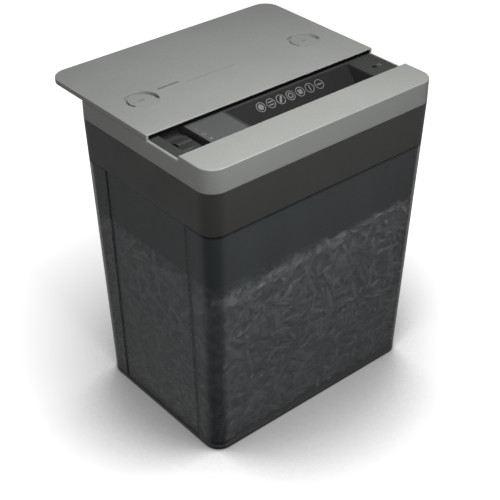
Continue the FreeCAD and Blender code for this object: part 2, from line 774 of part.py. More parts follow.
def make_comb(disc_b, first_x, side):
    """A stripper comb: one finger in every gap between two discs, joined by a bar outside them."""
    bar_inner = disc_b + side * (disc_radius + 1.2)
    bar_outer = bar_inner + side * 3.0
    comb = box(left_plate_x + plate_thickness, right_plate_x, *sorted((bar_inner, bar_outer)),
               cutter_z - 9.0, cutter_z + 9.0)
    fingers = []
    first_gap = first_x + (disc_thickness + disc_pitch) / 2 - finger_width / 2
    for i in range(disc_count - 1):
        x = first_gap + i * disc_pitch
        finger = box(x, x + finger_width, *sorted((disc_b + side * 6.0, bar_inner)),
                     cutter_z - 7.0, cutter_z + 7.0)
        fingers.append(finger.cut(rod(hub_radius + finger_gap, x - 1, x + finger_width + 1, disc_b,
                                      cutter_z)))
    return fuse_all(comb, fingers)


def rod_places():
    return [(cutter_front_b - 12.0, cutter_z + 26.0), (cutter_rear_b + 12.0, cutter_z + 26.0),
            (cutter_front_b - 12.0, cutter_z - 26.0), (cutter_rear_b + 14.0, cutter_z - 26.0)]


def standoff_places():
    return [(cutter_rear_b - 5.0, cutter_z + 35.5), (first_b + 12.0, first_z + 30.0),
            (second_b, second_z - 36.5)]


def motor_screw_places():
    return [(motor_b - motor_screw_b, motor_z), (motor_b + motor_screw_b, motor_z)]


def plate_holes(x_low, x_high):
    holes = [rod(bush_radius, x_low - 1, x_high + 1, b, cutter_z) for b in (cutter_front_b, cutter_rear_b)]
    holes += [rod(rod_radius + screw_gap, x_low - 1, x_high + 1, b, z) for b, z in rod_places()]
    return holes


def make_left_plate():
    x_low = left_plate_x
    x_high = left_plate_x + plate_thickness
    sheet = profile_along_x(
        [(12.0, plate_bottom), (164.0, plate_bottom), (164.0, 262.0), (134.0, 277.0), (44.0, 277.0),
         (12.0, 268.0)], x_low, x_high)
    foot = box(x_low - 12.0, x_high, 86.0, 160.0, floor_top, floor_top + plate_thickness)
    plate = fuse_all(sheet, [foot])
    holes = plate_holes(x_low, x_high)
    holes += [rod(pin_radius + screw_gap, x_low - 1, x_high + 1, b, z)
              for b, z in ((first_b, first_z), (second_b, second_z))]
    holes += [rod(1.5 + screw_gap, x_low - 1, x_high + 1, b, z)
              for b, z in motor_screw_places() + standoff_places()]
    holes.append(rod(motor_boss_radius + screw_gap, x_low - 1, x_high + 1, motor_b, motor_z))
    holes += [post(1.6, x, b, floor_top - 1, floor_top + 4) for x, b in chassis_screw_places()]
    return cut_all(plate, holes)


def make_right_plate():
    x_low = right_plate_x
    x_high = right_plate_x + plate_thickness
    sheet = box(x_low, x_high, 12.0, 80.0, plate_bottom, 268.0)
    foot = box(x_low, x_high + 12.0, 22.0, 72.0, floor_top, floor_top + plate_thickness)
    plate = fuse_all(sheet, [foot])
    holes = plate_holes(x_low, x_high)
    holes += [post(1.6, x, b, floor_top - 1, floor_top + 4) for x, b in chassis_screw_places()]
    return cut_all(plate, holes)


def make_chassis_screws():
    head_bottom = floor_top + plate_thickness
    screws = []
    for x, b in chassis_screw_places():
        head = post(2.8, x, b, head_bottom, head_bottom + 1.8)
        screws.append(head.fuse(post(1.5, x, b, skirt_bottom, head_bottom)))
    return group(screws)


def make_tie_rods():
    return group([rod(rod_radius, left_plate_x - 3.6, right_plate_x + plate_thickness + 3.6, b, z)
                  for b, z in rod_places()])


def make_rod_nuts():
    nuts = []
    for b, z in rod_places():
        corners = [(b + 5.2 * math.cos(math.radians(a)), z + 5.2 * math.sin(math.radians(a)))
                   for a in range(0, 360, 60)]
        for x in (left_plate_x - 2.8, right_plate_x + plate_thickness):
            nut = profile_along_x(corners, x, x + 2.8)
            nuts.append(nut.cut(rod(rod_radius + screw_gap, x - 1, x + 4, b, z)))
    return group(nuts)


def make_cutter_bushes():
    bushes = []
    for b in (cutter_front_b, cutter_rear_b):
        for x in (left_plate_x, right_plate_x):
            sleeve = rod(bush_radius - screw_gap, x - 0.2, x + plate_thickness + 0.2, b, cutter_z)
            bushes.append(sleeve.cut(rod(journal_radius + running_gap, x - 3, x + 5, b, cutter_z)))
    return group(bushes)


def make_ring(x, b):
    ring = rod(8.0, x, x + 0.9, b, cutter_z)
    return ring.cut(rod(journal_radius, x - 1, x + 2, b, cutter_z))


# ---- gears

def gear(module, teeth, x_low, x_high, b, z, first_tooth):
    """A spur gear with involute teeth along X; first_tooth is one tooth's direction in degrees."""
    pitch = module * teeth / 2
    base = pitch * math.cos(pressure_angle)
    tip = pitch + 0.9 * module
    root = pitch - 1.25 * module

    def involute(radius):
        angle = math.acos(min(1.0, base / radius))
        return math.tan(angle) - angle

    half_at_pitch = math.pi / (2 * teeth) - backlash * module / (2 * pitch)
    start = max(base, root)
    flank = [start + (tip - start) * i / 4 for i in range(5)]
    half_angles = [half_at_pitch + involute(pitch) - involute(radius) for radius in flank]
    root_half = half_angles[0] * (0.8 if root < base else 1.0)
    side = [(root, root_half)] + list(zip(flank, half_angles))
    corners = []
    for tooth in range(teeth):
        middle = math.radians(first_tooth) + 2 * math.pi * tooth / teeth
        for sign, points in ((-1, side), (1, side[::-1])):
            for radius, half in points:
                angle = middle + sign * half
                corners.append((b + radius * math.cos(angle), z + radius * math.sin(angle)))
    return profile_along_x(corners, x_low, x_high)


def facing_gap(direction, teeth):
    """First tooth of the follower, so that a gap of its faces the tooth that comes along direction."""
    return direction + 180.0 + 180.0 / teeth


def make_front_gear():
    blank = gear(sync_module, sync_teeth, sync_x, sync_x + sync_width, cutter_front_b, cutter_z, 0.0)
    return blank.cut(rod(journal_radius, sync_x - 1, sync_x + sync_width + 1, cutter_front_b, cutter_z))


def make_rear_gear():
    blank = gear(sync_module, sync_teeth, sync_x, sync_x + sync_width, cutter_rear_b, cutter_z,
                 facing_gap(0.0, sync_teeth))
    return blank.cut(rod(journal_radius, sync_x - 1, sync_x + sync_width + 1, cutter_rear_b, cutter_z))


def make_drive_gear():
    x_low, x_high = layer_three
    blank = gear(drive_module, drive_teeth, x_low, x_high, cutter_rear_b, cutter_z, second_angle)
    blank = blank.cut(rod(journal_radius, x_low - 1, x_high + 1, cutter_rear_b, cutter_z))
    web = drive_module * drive_teeth / 2 - 5.0
    for x in (x_low - overcut, x_high - 2.5):
        ring = rod(web, x, x + 2.5 + overcut, cutter_rear_b, cutter_z)
        blank = blank.cut(ring.cut(rod(9.0, x - 1, x + 6, cutter_rear_b, cutter_z)))
    return blank


def make_second_gear():
    pinion = gear(drive_module, second_pinion_teeth, layer_three[0], layer_three[1], second_b, second_z,
                  facing_gap(second_angle, second_pinion_teeth))
    wheel = gear(second_module, second_wheel_teeth, layer_two[0], layer_two[1], second_b, second_z,
                 first_angle)
    hub = rod(6.0, layer_three[1], layer_two[0], second_b, second_z)
    bore = rod(pin_radius + running_gap, layer_three[0] - 1, layer_two[1] + 1, second_b, second_z)
    return fuse_all(pinion, [hub, wheel]).cut(bore)


def make_first_gear():
    pinion = gear(second_module, first_pinion_teeth, layer_two[0], layer_two[1], first_b, first_z,
                  facing_gap(first_angle, first_pinion_teeth))
    wheel = gear(first_module, first_wheel_teeth, layer_one[0], layer_one[1], first_b, first_z,
                 motor_angle)
    hub = rod(4.4, layer_two[1], layer_one[0], first_b, first_z)
    bore = rod(pin_radius + running_gap, layer_two[0] - 1, layer_one[1] + 1, first_b, first_z)
    return fuse_all(pinion, [hub, wheel]).cut(bore)


def make_gear_pins():
    return group([rod(pin_radius, gear_plate_x, left_plate_x + plate_thickness, b, z)
                  for b, z in ((first_b, first_z), (second_b, second_z))])


def make_gear_plate():
    x_low = gear_plate_x
    x_high = gear_plate_x + plate_thickness
    plate = profile_along_x(
        [(46.0, 262.0), (84.0, 208.0), (98.0, 208.0), (134.0, 236.0), (134.0, 274.0), (120.0, 279.0),
         (46.0, 279.0)], x_low, x_high)
    holes = [rod(pin_radius + screw_gap, x_low - 1, x_high + 1, b, z)
             for b, z in ((first_b, first_z), (second_b, second_z))]
    holes += [rod(1.5 + screw_gap, x_low - 1, x_high + 1, b, z) for b, z in standoff_places()]
    return cut_all(plate, holes)


def make_gear_standoffs():
    standoffs = []
    for b, z in standoff_places():
        spacer = rod(3.2, gear_plate_x + plate_thickness, left_plate_x, b, z)
        tips = [rod(1.5, gear_plate_x, gear_plate_x + plate_thickness, b, z),
                rod(1.5, left_plate_x, left_plate_x + plate_thickness, b, z)]
        standoffs.append(fuse_all(spacer, tips))
    return group(standoffs)


# ---- motor

def make_motor_can():
    can = rod(motor_radius, motor_left, motor_right, motor_b, motor_z)
    ends = [e for e in can.Edges if isinstance(e.Curve, Part.Circle)]
    can = can.makeFillet(2.0, ends)
    can = fuse_all(can, [rod(motor_boss_radius, left_plate_x, motor_left + 1.0, motor_b, motor_z)])
    tools = [rod(motor_shaft_radius + running_gap, left_plate_x - 1, motor_right + 1, motor_b, motor_z)]
    tools += [rod(1.5 + screw_gap, motor_left - 1, motor_left + 6.0, b, z) for b, z in motor_screw_places()]
    return cut_all(can, tools)


def make_motor_screws():
    screws = []
    for b, z in motor_screw_places():
        head = rod(2.6, left_plate_x - 1.8, left_plate_x, b, z)
        screws.append(head.fuse(rod(1.5, left_plate_x, motor_left + 5.0, b, z)))
    return group(screws)


def make_motor_cap():
    cap = rod(motor_radius - 1.0, motor_right, motor_right + 4.0, motor_b, motor_z)
    holders = [box(motor_right + 4.0, motor_right + 7.0, motor_b + b - 3.0, motor_b + b + 3.0,
                   motor_z - 4.0, motor_z + 4.0) for b in (-15.5, 15.5)]
    cap = fuse_all(cap, holders)
    return cap.cut(rod(motor_shaft_radius + running_gap, motor_right - 1, motor_right + 8, motor_b,
                       motor_z))


def make_motor_shaft():
    shaft = rod(motor_shaft_radius, layer_one[0] - 1.0, motor_right + 13.0, motor_b, motor_z)
    pinion = gear(first_module, motor_teeth, layer_one[0], layer_one[1], motor_b, motor_z,
                  facing_gap(motor_angle, motor_teeth))
    return fuse_all(shaft, [pinion])


def make_motor_fan():
    x_low = motor_right + 7.3
    x_high = motor_right + 12.3
    hub = rod(5.0, x_low, x_high, motor_b, motor_z)
    blades = []
    for i in range(6):
        blade = box(x_low, x_high, motor_b + 3.5, motor_b + 12.0, motor_z - 0.6, motor_z + 0.6)
        blade.rotate(point(0, motor_b, motor_z), FreeCAD.Vector(1, 0, 0), i * 60)
        blades.append(blade)
    fan = fuse_all(hub, blades)
    return fan.cut(rod(motor_shaft_radius, x_low - 1, x_high + 1, motor_b, motor_z))


def make_thermal_cutout():
    return box(motor_right - 30.0, motor_right - 16.0, motor_b - 5.0, motor_b + 5.0,
               motor_z + motor_radius, motor_z + motor_radius + 4.0)


def lead_path(corners, bend):
    """Straight runs joined by tangent arcs of one bend radius."""
    edges = []
    start = corners[0]
    for before, corner, after in zip(corners, corners[1:], corners[2:]):
        back = (before - corner).normalize()
        ahead = (after - corner).normalize()
        enter = corner + back * bend
        leave = corner + ahead * bend
        middle = corner + (back + ahead) * bend * (1 - math.sqrt(0.5))
        edges.append(Part.makeLine(start, enter))
        edges.append(Part.Arc(enter, middle, leave).toShape())
        start = leave
    edges.append(Part.makeLine(start, corners[-1]))
    return Part.Wire(edges)


def make_motor_leads():
    """Two insulated wires from the terminal block over to the motor's end cap."""
    leads = []
    for side in (-7.0, 7.0):
        b = motor_b + side
        corners = [point(94.0, b, terminal_top), point(94.0, b, 303.0), point(motor_right + 2.0, b, 303.0),
                   point(motor_right + 2.0, b, motor_z + motor_radius - 1.9)]
        path = lead_path(corners, 4.0)
        circle = Part.Wire(Part.makeCircle(0.9, corners[0], FreeCAD.Vector(0, 0, 1)))
        leads.append(path.makePipeShell([circle], True, False))
    return group(leads)


# ---- electrics

def make_control_board():
    board = box(board_left, board_right, board_front, board_rear, board_top - board_thickness, board_top)
    return cut_all(board, [post(1.3, x, b, board_top - 3, board_top + 1) for x, b in board_post_places()])


def make_board_components():
    """Relay, film capacitor and electrolytic capacitor."""
    relay = box(44.0, 63.0, 150.0, 165.0, board_top, board_top + 15.0)
    film_capacitor = box(48.0, 66.0, 112.0, 120.0, board_top, board_top + 13.0)
    electrolytic = post(6.0, 84.0, 160.0, board_top, board_top + 18.0)
    return group([relay, film_capacitor, electrolytic])


def make_terminal_block():
    return box(89.0, 99.0, motor_b - 14.0, motor_b + 14.0, board_top, terminal_top)


def make_bin_switch():
    return box(plunger_x() - 7.0, half_width - 4.5, key_b - 7.0, key_b + 7.0, spring_top + 6.0,
               spring_top + 14.0)


def make_interlock_plunger():
    stem = post(plunger_radius, plunger_x(), key_b, ledge_bottom, spring_top + 5.5)
    return fuse_all(stem, [post(plunger_collar, plunger_x(), key_b, spring_bottom - 2.0, spring_bottom)])


def make_interlock_spring():
    """Compression spring between the plunger's collar and the housing's shelf."""
    wire_radius = 0.35
    coil_radius = 3.0
    bottom = spring_bottom + wire_radius + 0.05
    top = spring_top - wire_radius - 0.05
    helix = Part.makeHelix((top - bottom) / 5, top - bottom, coil_radius)
    circle = Part.Wire(Part.makeCircle(wire_radius, FreeCAD.Vector(coil_radius, 0, 0),
                                       FreeCAD.Vector(0, 1, 0)))
    spring = Part.Wire(helix.Edges).makePipeShell([circle], True, True)
    spring.translate(point(plunger_x(), key_b, bottom))
    return spring


def make_feed_lever():
    hub = rod(3.6, lever_x - 1.8, lever_x + 1.8, lever_b, lever_z)
    tip_b = neck_front + 1.0
    half = lever_width / 2
    arm = profile_along_x(
        [(lever_b - 2.0, lever_z + 2.6), (tip_b, lever_z - 9.0), (tip_b + 0.5, lever_z - 11.5),
         (lever_b + 1.0, lever_z - 3.0)], lever_x - half, lever_x + half)
    tail = box(lever_x - half, lever_x + half, lever_b, lever_b + 14.0, lever_z - half, lever_z + half)
    lever = fuse_all(hub, [arm, tail])
    return lever.cut(rod(lever_pin_radius + running_gap, lever_x - 3, lever_x + 3, lever_b, lever_z))


def make_feed_lever_pin():
    return rod(lever_pin_radius, lever_x - 6.0, lever_x + 6.0, lever_b, lever_z)


def make_feed_switch():
    return box(lever_x - 6.5, lever_x + 6.5, lever_b + 7.5, lever_b + 15.0, lever_z + 9.5, lever_z + 17.5)


nodes = {
    "bin_tub": make_bin_tub(),
    "bin_base": make_bin_base(),
    "base_feet": make_base_feet(),
    "base_screws": make_base_screws(),
    "shredded_paper": make_shredded_paper(),
    "head_housing": make_head_housing(),
    "head_cover": make_head_cover(),
    "cover_screws": make_cover_screws(),
    "cord_grommet": make_cord_grommet(),
    "control_deck": make_control_deck(),
    "deck_screws": make_deck_screws(),
    "legend_plate": make_legend_plate(),
    "throat_guide": make_throat_guide(),
    "guide_marks": make_guide_marks(),
    "switch_knob": make_switch_knob(),
    "slide_switch": make_slide_switch(),
    "light_pipe": make_light_pipe(),
    "status_lamp": make_status_lamp(),
    "lid_skin": make_lid_skin(),
    "lid_carrier": make_lid_carrier(),
    "lid_runners": make_lid_runners(),
    "runner_screws": make_runner_screws(),
    "front_cutter_shaft": make_cutter_shaft(cutter_front_b, left_plate_x - 2.6, sync_x + sync_width + 1.0),
    "front_cutter_discs": make_cutter_discs(cutter_front_b, first_disc_x, 1, 18.0),
    "front_gear": make_front_gear(),
    "front_ring": make_ring(left_plate_x - 1.4, cutter_front_b),
    "rear_cutter_shaft": make_cutter_shaft(cutter_rear_b, layer_three[0] - 1.0, sync_x + sync_width + 1.0),
    "rear_cutter_discs": make_cutter_discs(cutter_rear_b, first_disc_x + disc_pitch / 2, -1, -18.0),
    "rear_gear": make_rear_gear(),
    "rear_ring": make_ring(left_plate_x - 1.4, cutter_rear_b),
    "drive_gear": make_drive_gear(),
    "front_comb": make_comb(cutter_front_b, first_disc_x, -1),
    "rear_comb": make_comb(cutter_rear_b, first_disc_x + disc_pitch / 2, 1),
    "left_plate": make_left_plate(),
    "right_plate": make_right_plate(),
    "chassis_screws": make_chassis_screws(),
    "tie_rods": make_tie_rods(),
    "rod_nuts": make_rod_nuts(),
    "cutter_bushes": make_cutter_bushes(),
    "second_gear": make_second_gear(),
    "first_gear": make_first_gear(),
    "gear_pins": make_gear_pins(),
    "gear_plate": make_gear_plate(),
    "gear_standoffs": make_gear_standoffs(),
    "motor_can": make_motor_can(),
    "motor_screws": make_motor_screws(),
    "motor_cap": make_motor_cap(),
    "motor_shaft": make_motor_shaft(),
    "motor_fan": make_motor_fan(),
    "thermal_cutout": make_thermal_cutout(),
    "motor_leads": make_motor_leads(),
    "control_board": make_control_board(),
    "board_components": make_board_components(),
    "terminal_block": make_terminal_block(),
    "bin_switch": make_bin_switch(),
    "interlock_plunger": make_interlock_plunger(),
    "interlock_spring": make_interlock_spring(),
    "feed_lever": make_feed_lever(),
    "feed_lever_pin": make_feed_lever_pin(),
    "feed_switch": make_feed_switch(),
}

os.makedirs("parts", exist_ok=True)
for name, shape in nodes.items():
    shape.exportStep(f"parts/{name}.step")
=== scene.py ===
import math

import bmesh
import bpy
import numpy as np
from mathutils import Matrix, Vector, noise
from mathutils.bvhtree import BVHTree


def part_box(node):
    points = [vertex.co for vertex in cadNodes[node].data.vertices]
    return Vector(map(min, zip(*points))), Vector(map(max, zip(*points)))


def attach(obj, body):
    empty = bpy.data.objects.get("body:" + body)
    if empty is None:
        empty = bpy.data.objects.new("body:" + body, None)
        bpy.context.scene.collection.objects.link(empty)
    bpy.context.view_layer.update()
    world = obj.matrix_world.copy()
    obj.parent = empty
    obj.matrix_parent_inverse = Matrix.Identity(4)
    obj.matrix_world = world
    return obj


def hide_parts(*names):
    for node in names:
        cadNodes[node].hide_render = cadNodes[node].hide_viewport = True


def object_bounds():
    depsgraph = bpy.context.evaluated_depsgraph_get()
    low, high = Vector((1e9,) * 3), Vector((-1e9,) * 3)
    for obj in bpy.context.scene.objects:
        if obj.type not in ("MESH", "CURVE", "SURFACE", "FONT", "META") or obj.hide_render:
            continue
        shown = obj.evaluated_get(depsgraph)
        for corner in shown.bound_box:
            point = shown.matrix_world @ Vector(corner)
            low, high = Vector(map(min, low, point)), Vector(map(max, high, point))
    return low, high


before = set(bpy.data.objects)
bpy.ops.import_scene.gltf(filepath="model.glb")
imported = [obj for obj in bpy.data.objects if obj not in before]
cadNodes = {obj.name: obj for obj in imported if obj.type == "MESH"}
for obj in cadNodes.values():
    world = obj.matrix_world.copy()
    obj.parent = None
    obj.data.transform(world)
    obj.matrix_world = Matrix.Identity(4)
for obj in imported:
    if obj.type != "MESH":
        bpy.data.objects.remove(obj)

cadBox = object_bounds()
millimetre = 0.001


# node trees: one call adds a node, sets it and wires what feeds it

def addNode(tree, kind, inputs=None, **settings):
    node = tree.nodes.new(kind)
    for name, value in settings.items():
        setattr(node, name, value)
    for name, value in (inputs or {}).items():
        if isinstance(value, bpy.types.NodeSocket):
            tree.links.new(value, node.inputs[name])
        else:
            node.inputs[name].default_value = value
    return node


def calculate(tree, operation, first, second=0.0):
    node = addNode(tree, "ShaderNodeMath", {0: first, 1: second}, operation=operation)
    return node.outputs[0]


def spread(tree, value, low, high, fromLow=0.3, fromHigh=0.7):
    node = addNode(tree, "ShaderNodeMapRange", {
        "Value": value, "From Min": fromLow, "From Max": fromHigh, "To Min": low, "To Max": high})
    return node.outputs["Result"]


def speckle(tree, place, size, detail=2.0):
    node = addNode(tree, "ShaderNodeTexNoise", {"Vector": place, "Scale": 1 / size, "Detail": detail})
    return node.outputs["Fac"]


def scaledColour(tree, colour, amount):
    node = addNode(tree, "ShaderNodeVectorMath", {0: colour, "Scale": amount}, operation="SCALE")
    return node.outputs["Vector"]


def newMaterial(name):
    material = bpy.data.materials.new(name)
    material.use_nodes = True
    tree = material.node_tree
    return material, tree, tree.nodes["Principled BSDF"]


def roundedEdges(tree, radius):
    # the light catches each edge as if it had this radius; also says how near an edge is
    soft = addNode(tree, "ShaderNodeBevel", {"Radius": radius}, samples=4).outputs["Normal"]
    flat = addNode(tree, "ShaderNodeNewGeometry").outputs["Normal"]
    facing = addNode(tree, "ShaderNodeVectorMath", {0: soft, 1: flat}, operation="DOT_PRODUCT")
    nearEdge = spread(tree, facing.outputs["Value"], 1.0, 0.0, 0.75, 0.98)
    return soft, nearEdge


# moulded plastics: spark grain, faint clouding, a painted highlight along the edges broken up in patches
# like wear, handling marks in the gloss

plasticFinishes = {
    "silverSatin": {"colour": (0.250, 0.258, 0.244), "metallic": 0.15, "roughness": 0.54, "clouding": 0.03,
                    "grainSize": 0.0007, "grainDepth": 0.16, "sparkle": 0.07, "edgeRadius": 0.0005,
                    "edgeLight": 0.08},
    "bandSatin": {"colour": (0.037, 0.037, 0.0345), "metallic": 0.0, "roughness": 0.46, "clouding": 0.06,
                  "grainSize": 0.0006, "grainDepth": 0.22, "sparkle": 0.05, "edgeRadius": 0.0006,
                  "edgeLight": 0.3},
    "deckSatin": {"colour": (0.029, 0.031, 0.029), "metallic": 0.0, "roughness": 0.56, "clouding": 0.05,
                  "grainSize": 0.0005, "grainDepth": 0.22, "sparkle": 0.05, "edgeRadius": 0.0004,
                  "edgeLight": 0.3},
    "legendSatin": {"colour": (0.064, 0.068, 0.065), "metallic": 0.0, "roughness": 0.48, "clouding": 0.03,
                    "grainSize": 0.0004, "grainDepth": 0.10, "sparkle": 0.03, "edgeRadius": 0.0002,
                    "edgeLight": 0.2},
    "funnelMatte": {"colour": (0.011, 0.0115, 0.011), "metallic": 0.0, "roughness": 0.70, "clouding": 0.06,
                    "grainSize": 0.0005, "grainDepth": 0.20, "sparkle": 0.05, "edgeRadius": 0.0004,
                    "edgeLight": 0.4, "ior": 1.22},
    # painted shade: the lid's carrier is blacker and duller than black plastic, so that its front stands for
    # the shade under the lid's front edge
    "carrierShadeBlack": {"colour": (0.0028, 0.0028, 0.0028), "metallic": 0.0, "roughness": 0.80,
                     "clouding": 0.06, "grainSize": 0.0005, "grainDepth": 0.20, "sparkle": 0.05,
                     "edgeRadius": 0.0003, "edgeLight": 0.2, "ior": 1.12},
    "blackSatin": {"colour": (0.016, 0.016, 0.016), "metallic": 0.0, "roughness": 0.36, "clouding": 0.05,
                   "grainSize": 0.0005, "grainDepth": 0.18, "sparkle": 0.04, "edgeRadius": 0.0004,
                   "edgeLight": 0.9},
    "knobSatin": {"colour": (0.036, 0.038, 0.036), "metallic": 0.0, "roughness": 0.34, "clouding": 0.04,
                  "grainSize": 0.0004, "grainDepth": 0.14, "sparkle": 0.04, "edgeRadius": 0.0005,
                  "edgeLight": 1.2},
    "nylonWhite": {"colour": (0.66, 0.63, 0.55), "metallic": 0.0, "roughness": 0.38, "clouding": 0.05,
                   "grainSize": 0.0005, "grainDepth": 0.08, "sparkle": 0.02, "edgeRadius": 0.0002,
                   "edgeLight": 0.1},
    "partBlue": {"colour": (0.035, 0.045, 0.16), "metallic": 0.0, "roughness": 0.35, "clouding": 0.04,
                 "grainSize": 0.0005, "grainDepth": 0.10, "sparkle": 0.03, "edgeRadius": 0.0004,
                 "edgeLight": 0.5},
    "wireRed": {"colour": (0.34, 0.018, 0.014), "metallic": 0.0, "roughness": 0.30, "clouding": 0.08,
                "grainSize": 0.0009, "grainDepth": 0.05, "sparkle": 0.03, "edgeRadius": 0.0001,
                "edgeLight": 0.0},
    "rubberBlack": {"colour": (0.014, 0.014, 0.014), "metallic": 0.0, "roughness": 0.82, "clouding": 0.10,
                    "grainSize": 0.0010, "grainDepth": 0.35, "sparkle": 0.12, "edgeRadius": 0.0008,
                    "edgeLight": 0.8},
    "funnelInk": {"colour": (0.100, 0.104, 0.099), "metallic": 0.0, "roughness": 0.66, "clouding": 0.30,
                  "grainSize": 0.0004, "grainDepth": 0.05, "sparkle": 0.20, "edgeRadius": 0.0001,
                  "edgeLight": 0.0},
    "markInk": {"colour": (0.15, 0.157, 0.15), "metallic": 0.0, "roughness": 0.62, "clouding": 0.12,
                "grainSize": 0.0003, "grainDepth": 0.05, "sparkle": 0.10, "edgeRadius": 0.0001,
                "edgeLight": 0.0},
    "darkInk": {"colour": (0.125, 0.129, 0.123), "metallic": 0.0, "roughness": 0.55, "clouding": 0.12,
                "grainSize": 0.0003, "grainDepth": 0.05, "sparkle": 0.10, "edgeRadius": 0.0001,
                "edgeLight": 0.0},
}

plasticPattern = {"cloudSize": 0.06, "highlightBreakSize": 0.012, "handledSize": 0.035, "glossier": 0.05,
                  "duller": 0.06, "grainHeight": 0.0002, "ior": 1.49}


def mouldedPlastic(name):
    finish = plasticFinishes[name]
    material, tree, shader = newMaterial(name)
    place = addNode(tree, "ShaderNodeTexCoord").outputs["Object"]
    soft, nearEdge = roundedEdges(tree, finish["edgeRadius"])
    clouds = speckle(tree, place, plasticPattern["cloudSize"], 3.0)
    grain = speckle(tree, place, finish["grainSize"])
    highlightBreaks = speckle(tree, place, plasticPattern["highlightBreakSize"], 4.0)
    tone = spread(tree, clouds, 1 - finish["clouding"], 1 + finish["clouding"])
    sparkle = spread(tree, grain, 1 - finish["sparkle"], 1 + finish["sparkle"])
    # painted highlight: the colour is lighter near every edge, in patches like wear
    wornEdgeHighlight = calculate(tree, "MULTIPLY", nearEdge, spread(tree, highlightBreaks, 0.3, 1.0))
    lift = calculate(tree, "MULTIPLY_ADD", wornEdgeHighlight, finish["edgeLight"])
    lift.node.inputs[2].default_value = 1.0
    amount = calculate(tree, "MULTIPLY", calculate(tree, "MULTIPLY", tone, sparkle), lift)
    tree.links.new(scaledColour(tree, finish["colour"], amount), shader.inputs["Base Color"])
    handled = speckle(tree, place, plasticPattern["handledSize"], 5.0)
    roughness = spread(tree, handled, finish["roughness"] - plasticPattern["glossier"],
                       finish["roughness"] + plasticPattern["duller"])
    tree.links.new(roughness, shader.inputs["Roughness"])
    bump = addNode(tree, "ShaderNodeBump", {
        "Height": grain, "Strength": finish["grainDepth"],
        "Distance": plasticPattern["grainHeight"], "Normal": soft})
    tree.links.new(bump.outputs["Normal"], shader.inputs["Normal"])
    shader.inputs["Metallic"].default_value = finish["metallic"]
    shader.inputs["IOR"].default_value = finish.get("ior", plasticPattern["ior"])
    return material


# smoked see-through plastic of the bin: dark tint, faint flow marks and fine scuffs, with painted shade
# along its edges, in its grooves, under its rim and at its corners

smokedFinish = {
    "colour": (0.049, 0.0565, 0.0595),
    "alpha": 0.68,
    "edgeAlpha": 0.96,
    "edgeDepth": 0.82,
    "edgeRadius": 0.0005,
    "cornerDepth": 0.28,
    "cornerFrom": 0.05,                    # how far the wall has turned where a corner starts
    "cornerTo": 0.40,
    "grooveSetbacks": (0.0368, 0.1542),    # of the side walls' grooves, behind the front
    "grooveHalf": 0.0017,
    "sideFacing": 0.7,                     # a face that looks this much sideways is a side wall
    "rimShadow": 0.0022,
    "flowSize": 0.03,
    "flowStretch": (1.0, 1.0, 0.22),
    "flowTint": (0.90, 1.10),
    "flowHeight": 0.0004,
    "scuffSize": 0.004,
    "scuffs": 0.12,
    "roughness": 0.26,
    "ior": 1.44,
}


def smokedPlastic():
    material, tree, shader = newMaterial("smokedClear")
    place = addNode(tree, "ShaderNodeTexCoord").outputs["Object"]
    soft, nearEdge = roundedEdges(tree, smokedFinish["edgeRadius"])
    stretch = addNode(tree, "ShaderNodeMapping", {"Vector": place, "Scale": smokedFinish["flowStretch"]})
    flow = speckle(tree, stretch.outputs["Vector"], smokedFinish["flowSize"], 3.0)
    # painted shade: darker and less see-through at the upright corners and along the edges, standing in for
    # the darker look of the wall seen at a slant
    normal = addNode(tree, "ShaderNodeSeparateXYZ", {
        "Vector": addNode(tree, "ShaderNodeNewGeometry").outputs["Normal"]})
    bend = calculate(tree, "ABSOLUTE", calculate(tree, "MULTIPLY", normal.outputs["X"], normal.outputs["Y"]))
    corner = spread(tree, bend, 0.0, smokedFinish["cornerDepth"], smokedFinish["cornerFrom"],
                    smokedFinish["cornerTo"])
    spot = addNode(tree, "ShaderNodeSeparateXYZ", {"Vector": place})
    along = spot.outputs["Y"]
    sideways = calculate(tree, "GREATER_THAN", calculate(tree, "ABSOLUTE", normal.outputs["X"]),
                         smokedFinish["sideFacing"])
    # painted shade in a band under the rim and in the side walls' grooves
    rim = calculate(tree, "GREATER_THAN", spot.outputs["Z"],
                    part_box("bin_tub")[1].z - smokedFinish["rimShadow"])
    shadowed = calculate(tree, "MAXIMUM", nearEdge, rim)
    for setback in smokedFinish["grooveSetbacks"]:
        away = calculate(tree, "SUBTRACT", along, cadBox[0][1] + setback)
        within = calculate(tree, "LESS_THAN", calculate(tree, "ABSOLUTE", away),
                           smokedFinish["grooveHalf"])
        shadowed = calculate(tree, "MAXIMUM", shadowed, calculate(tree, "MULTIPLY", within, sideways))
    edge = calculate(tree, "MULTIPLY", shadowed, smokedFinish["edgeDepth"])
    paintedShade = calculate(tree, "MAXIMUM", edge, corner)
    amount = calculate(tree, "MULTIPLY", spread(tree, flow, *smokedFinish["flowTint"]),
                       spread(tree, paintedShade, 1.0, 0.0, 0.0, 1.0))
    tree.links.new(scaledColour(tree, smokedFinish["colour"], amount), shader.inputs["Base Color"])
    scuff = speckle(tree, place, smokedFinish["scuffSize"], 6.0)
    roughness = spread(tree, scuff, smokedFinish["roughness"],
                       smokedFinish["roughness"] + smokedFinish["scuffs"], 0.55, 0.75)
    tree.links.new(roughness, shader.inputs["Roughness"])
    bump = addNode(tree, "ShaderNodeBump", {
        "Height": flow, "Strength": 0.06, "Distance": smokedFinish["flowHeight"], "Normal": soft})
    tree.links.new(bump.outputs["Normal"], shader.inputs["Normal"])
    tree.links.new(spread(tree, paintedShade, smokedFinish["alpha"], smokedFinish["edgeAlpha"], 0.0, 0.8),
                   shader.inputs["Alpha"])
    shader.inputs["IOR"].default_value = smokedFinish["ior"]
    return material


# clear plastic of the indicator's window and its lamp

lensFinish = {"colour": (0.0030, 0.0036, 0.0030), "hazeSize": 0.0015, "haze": (0.8, 1.2),
              "roughness": (0.10, 0.20), "ior": 1.35}


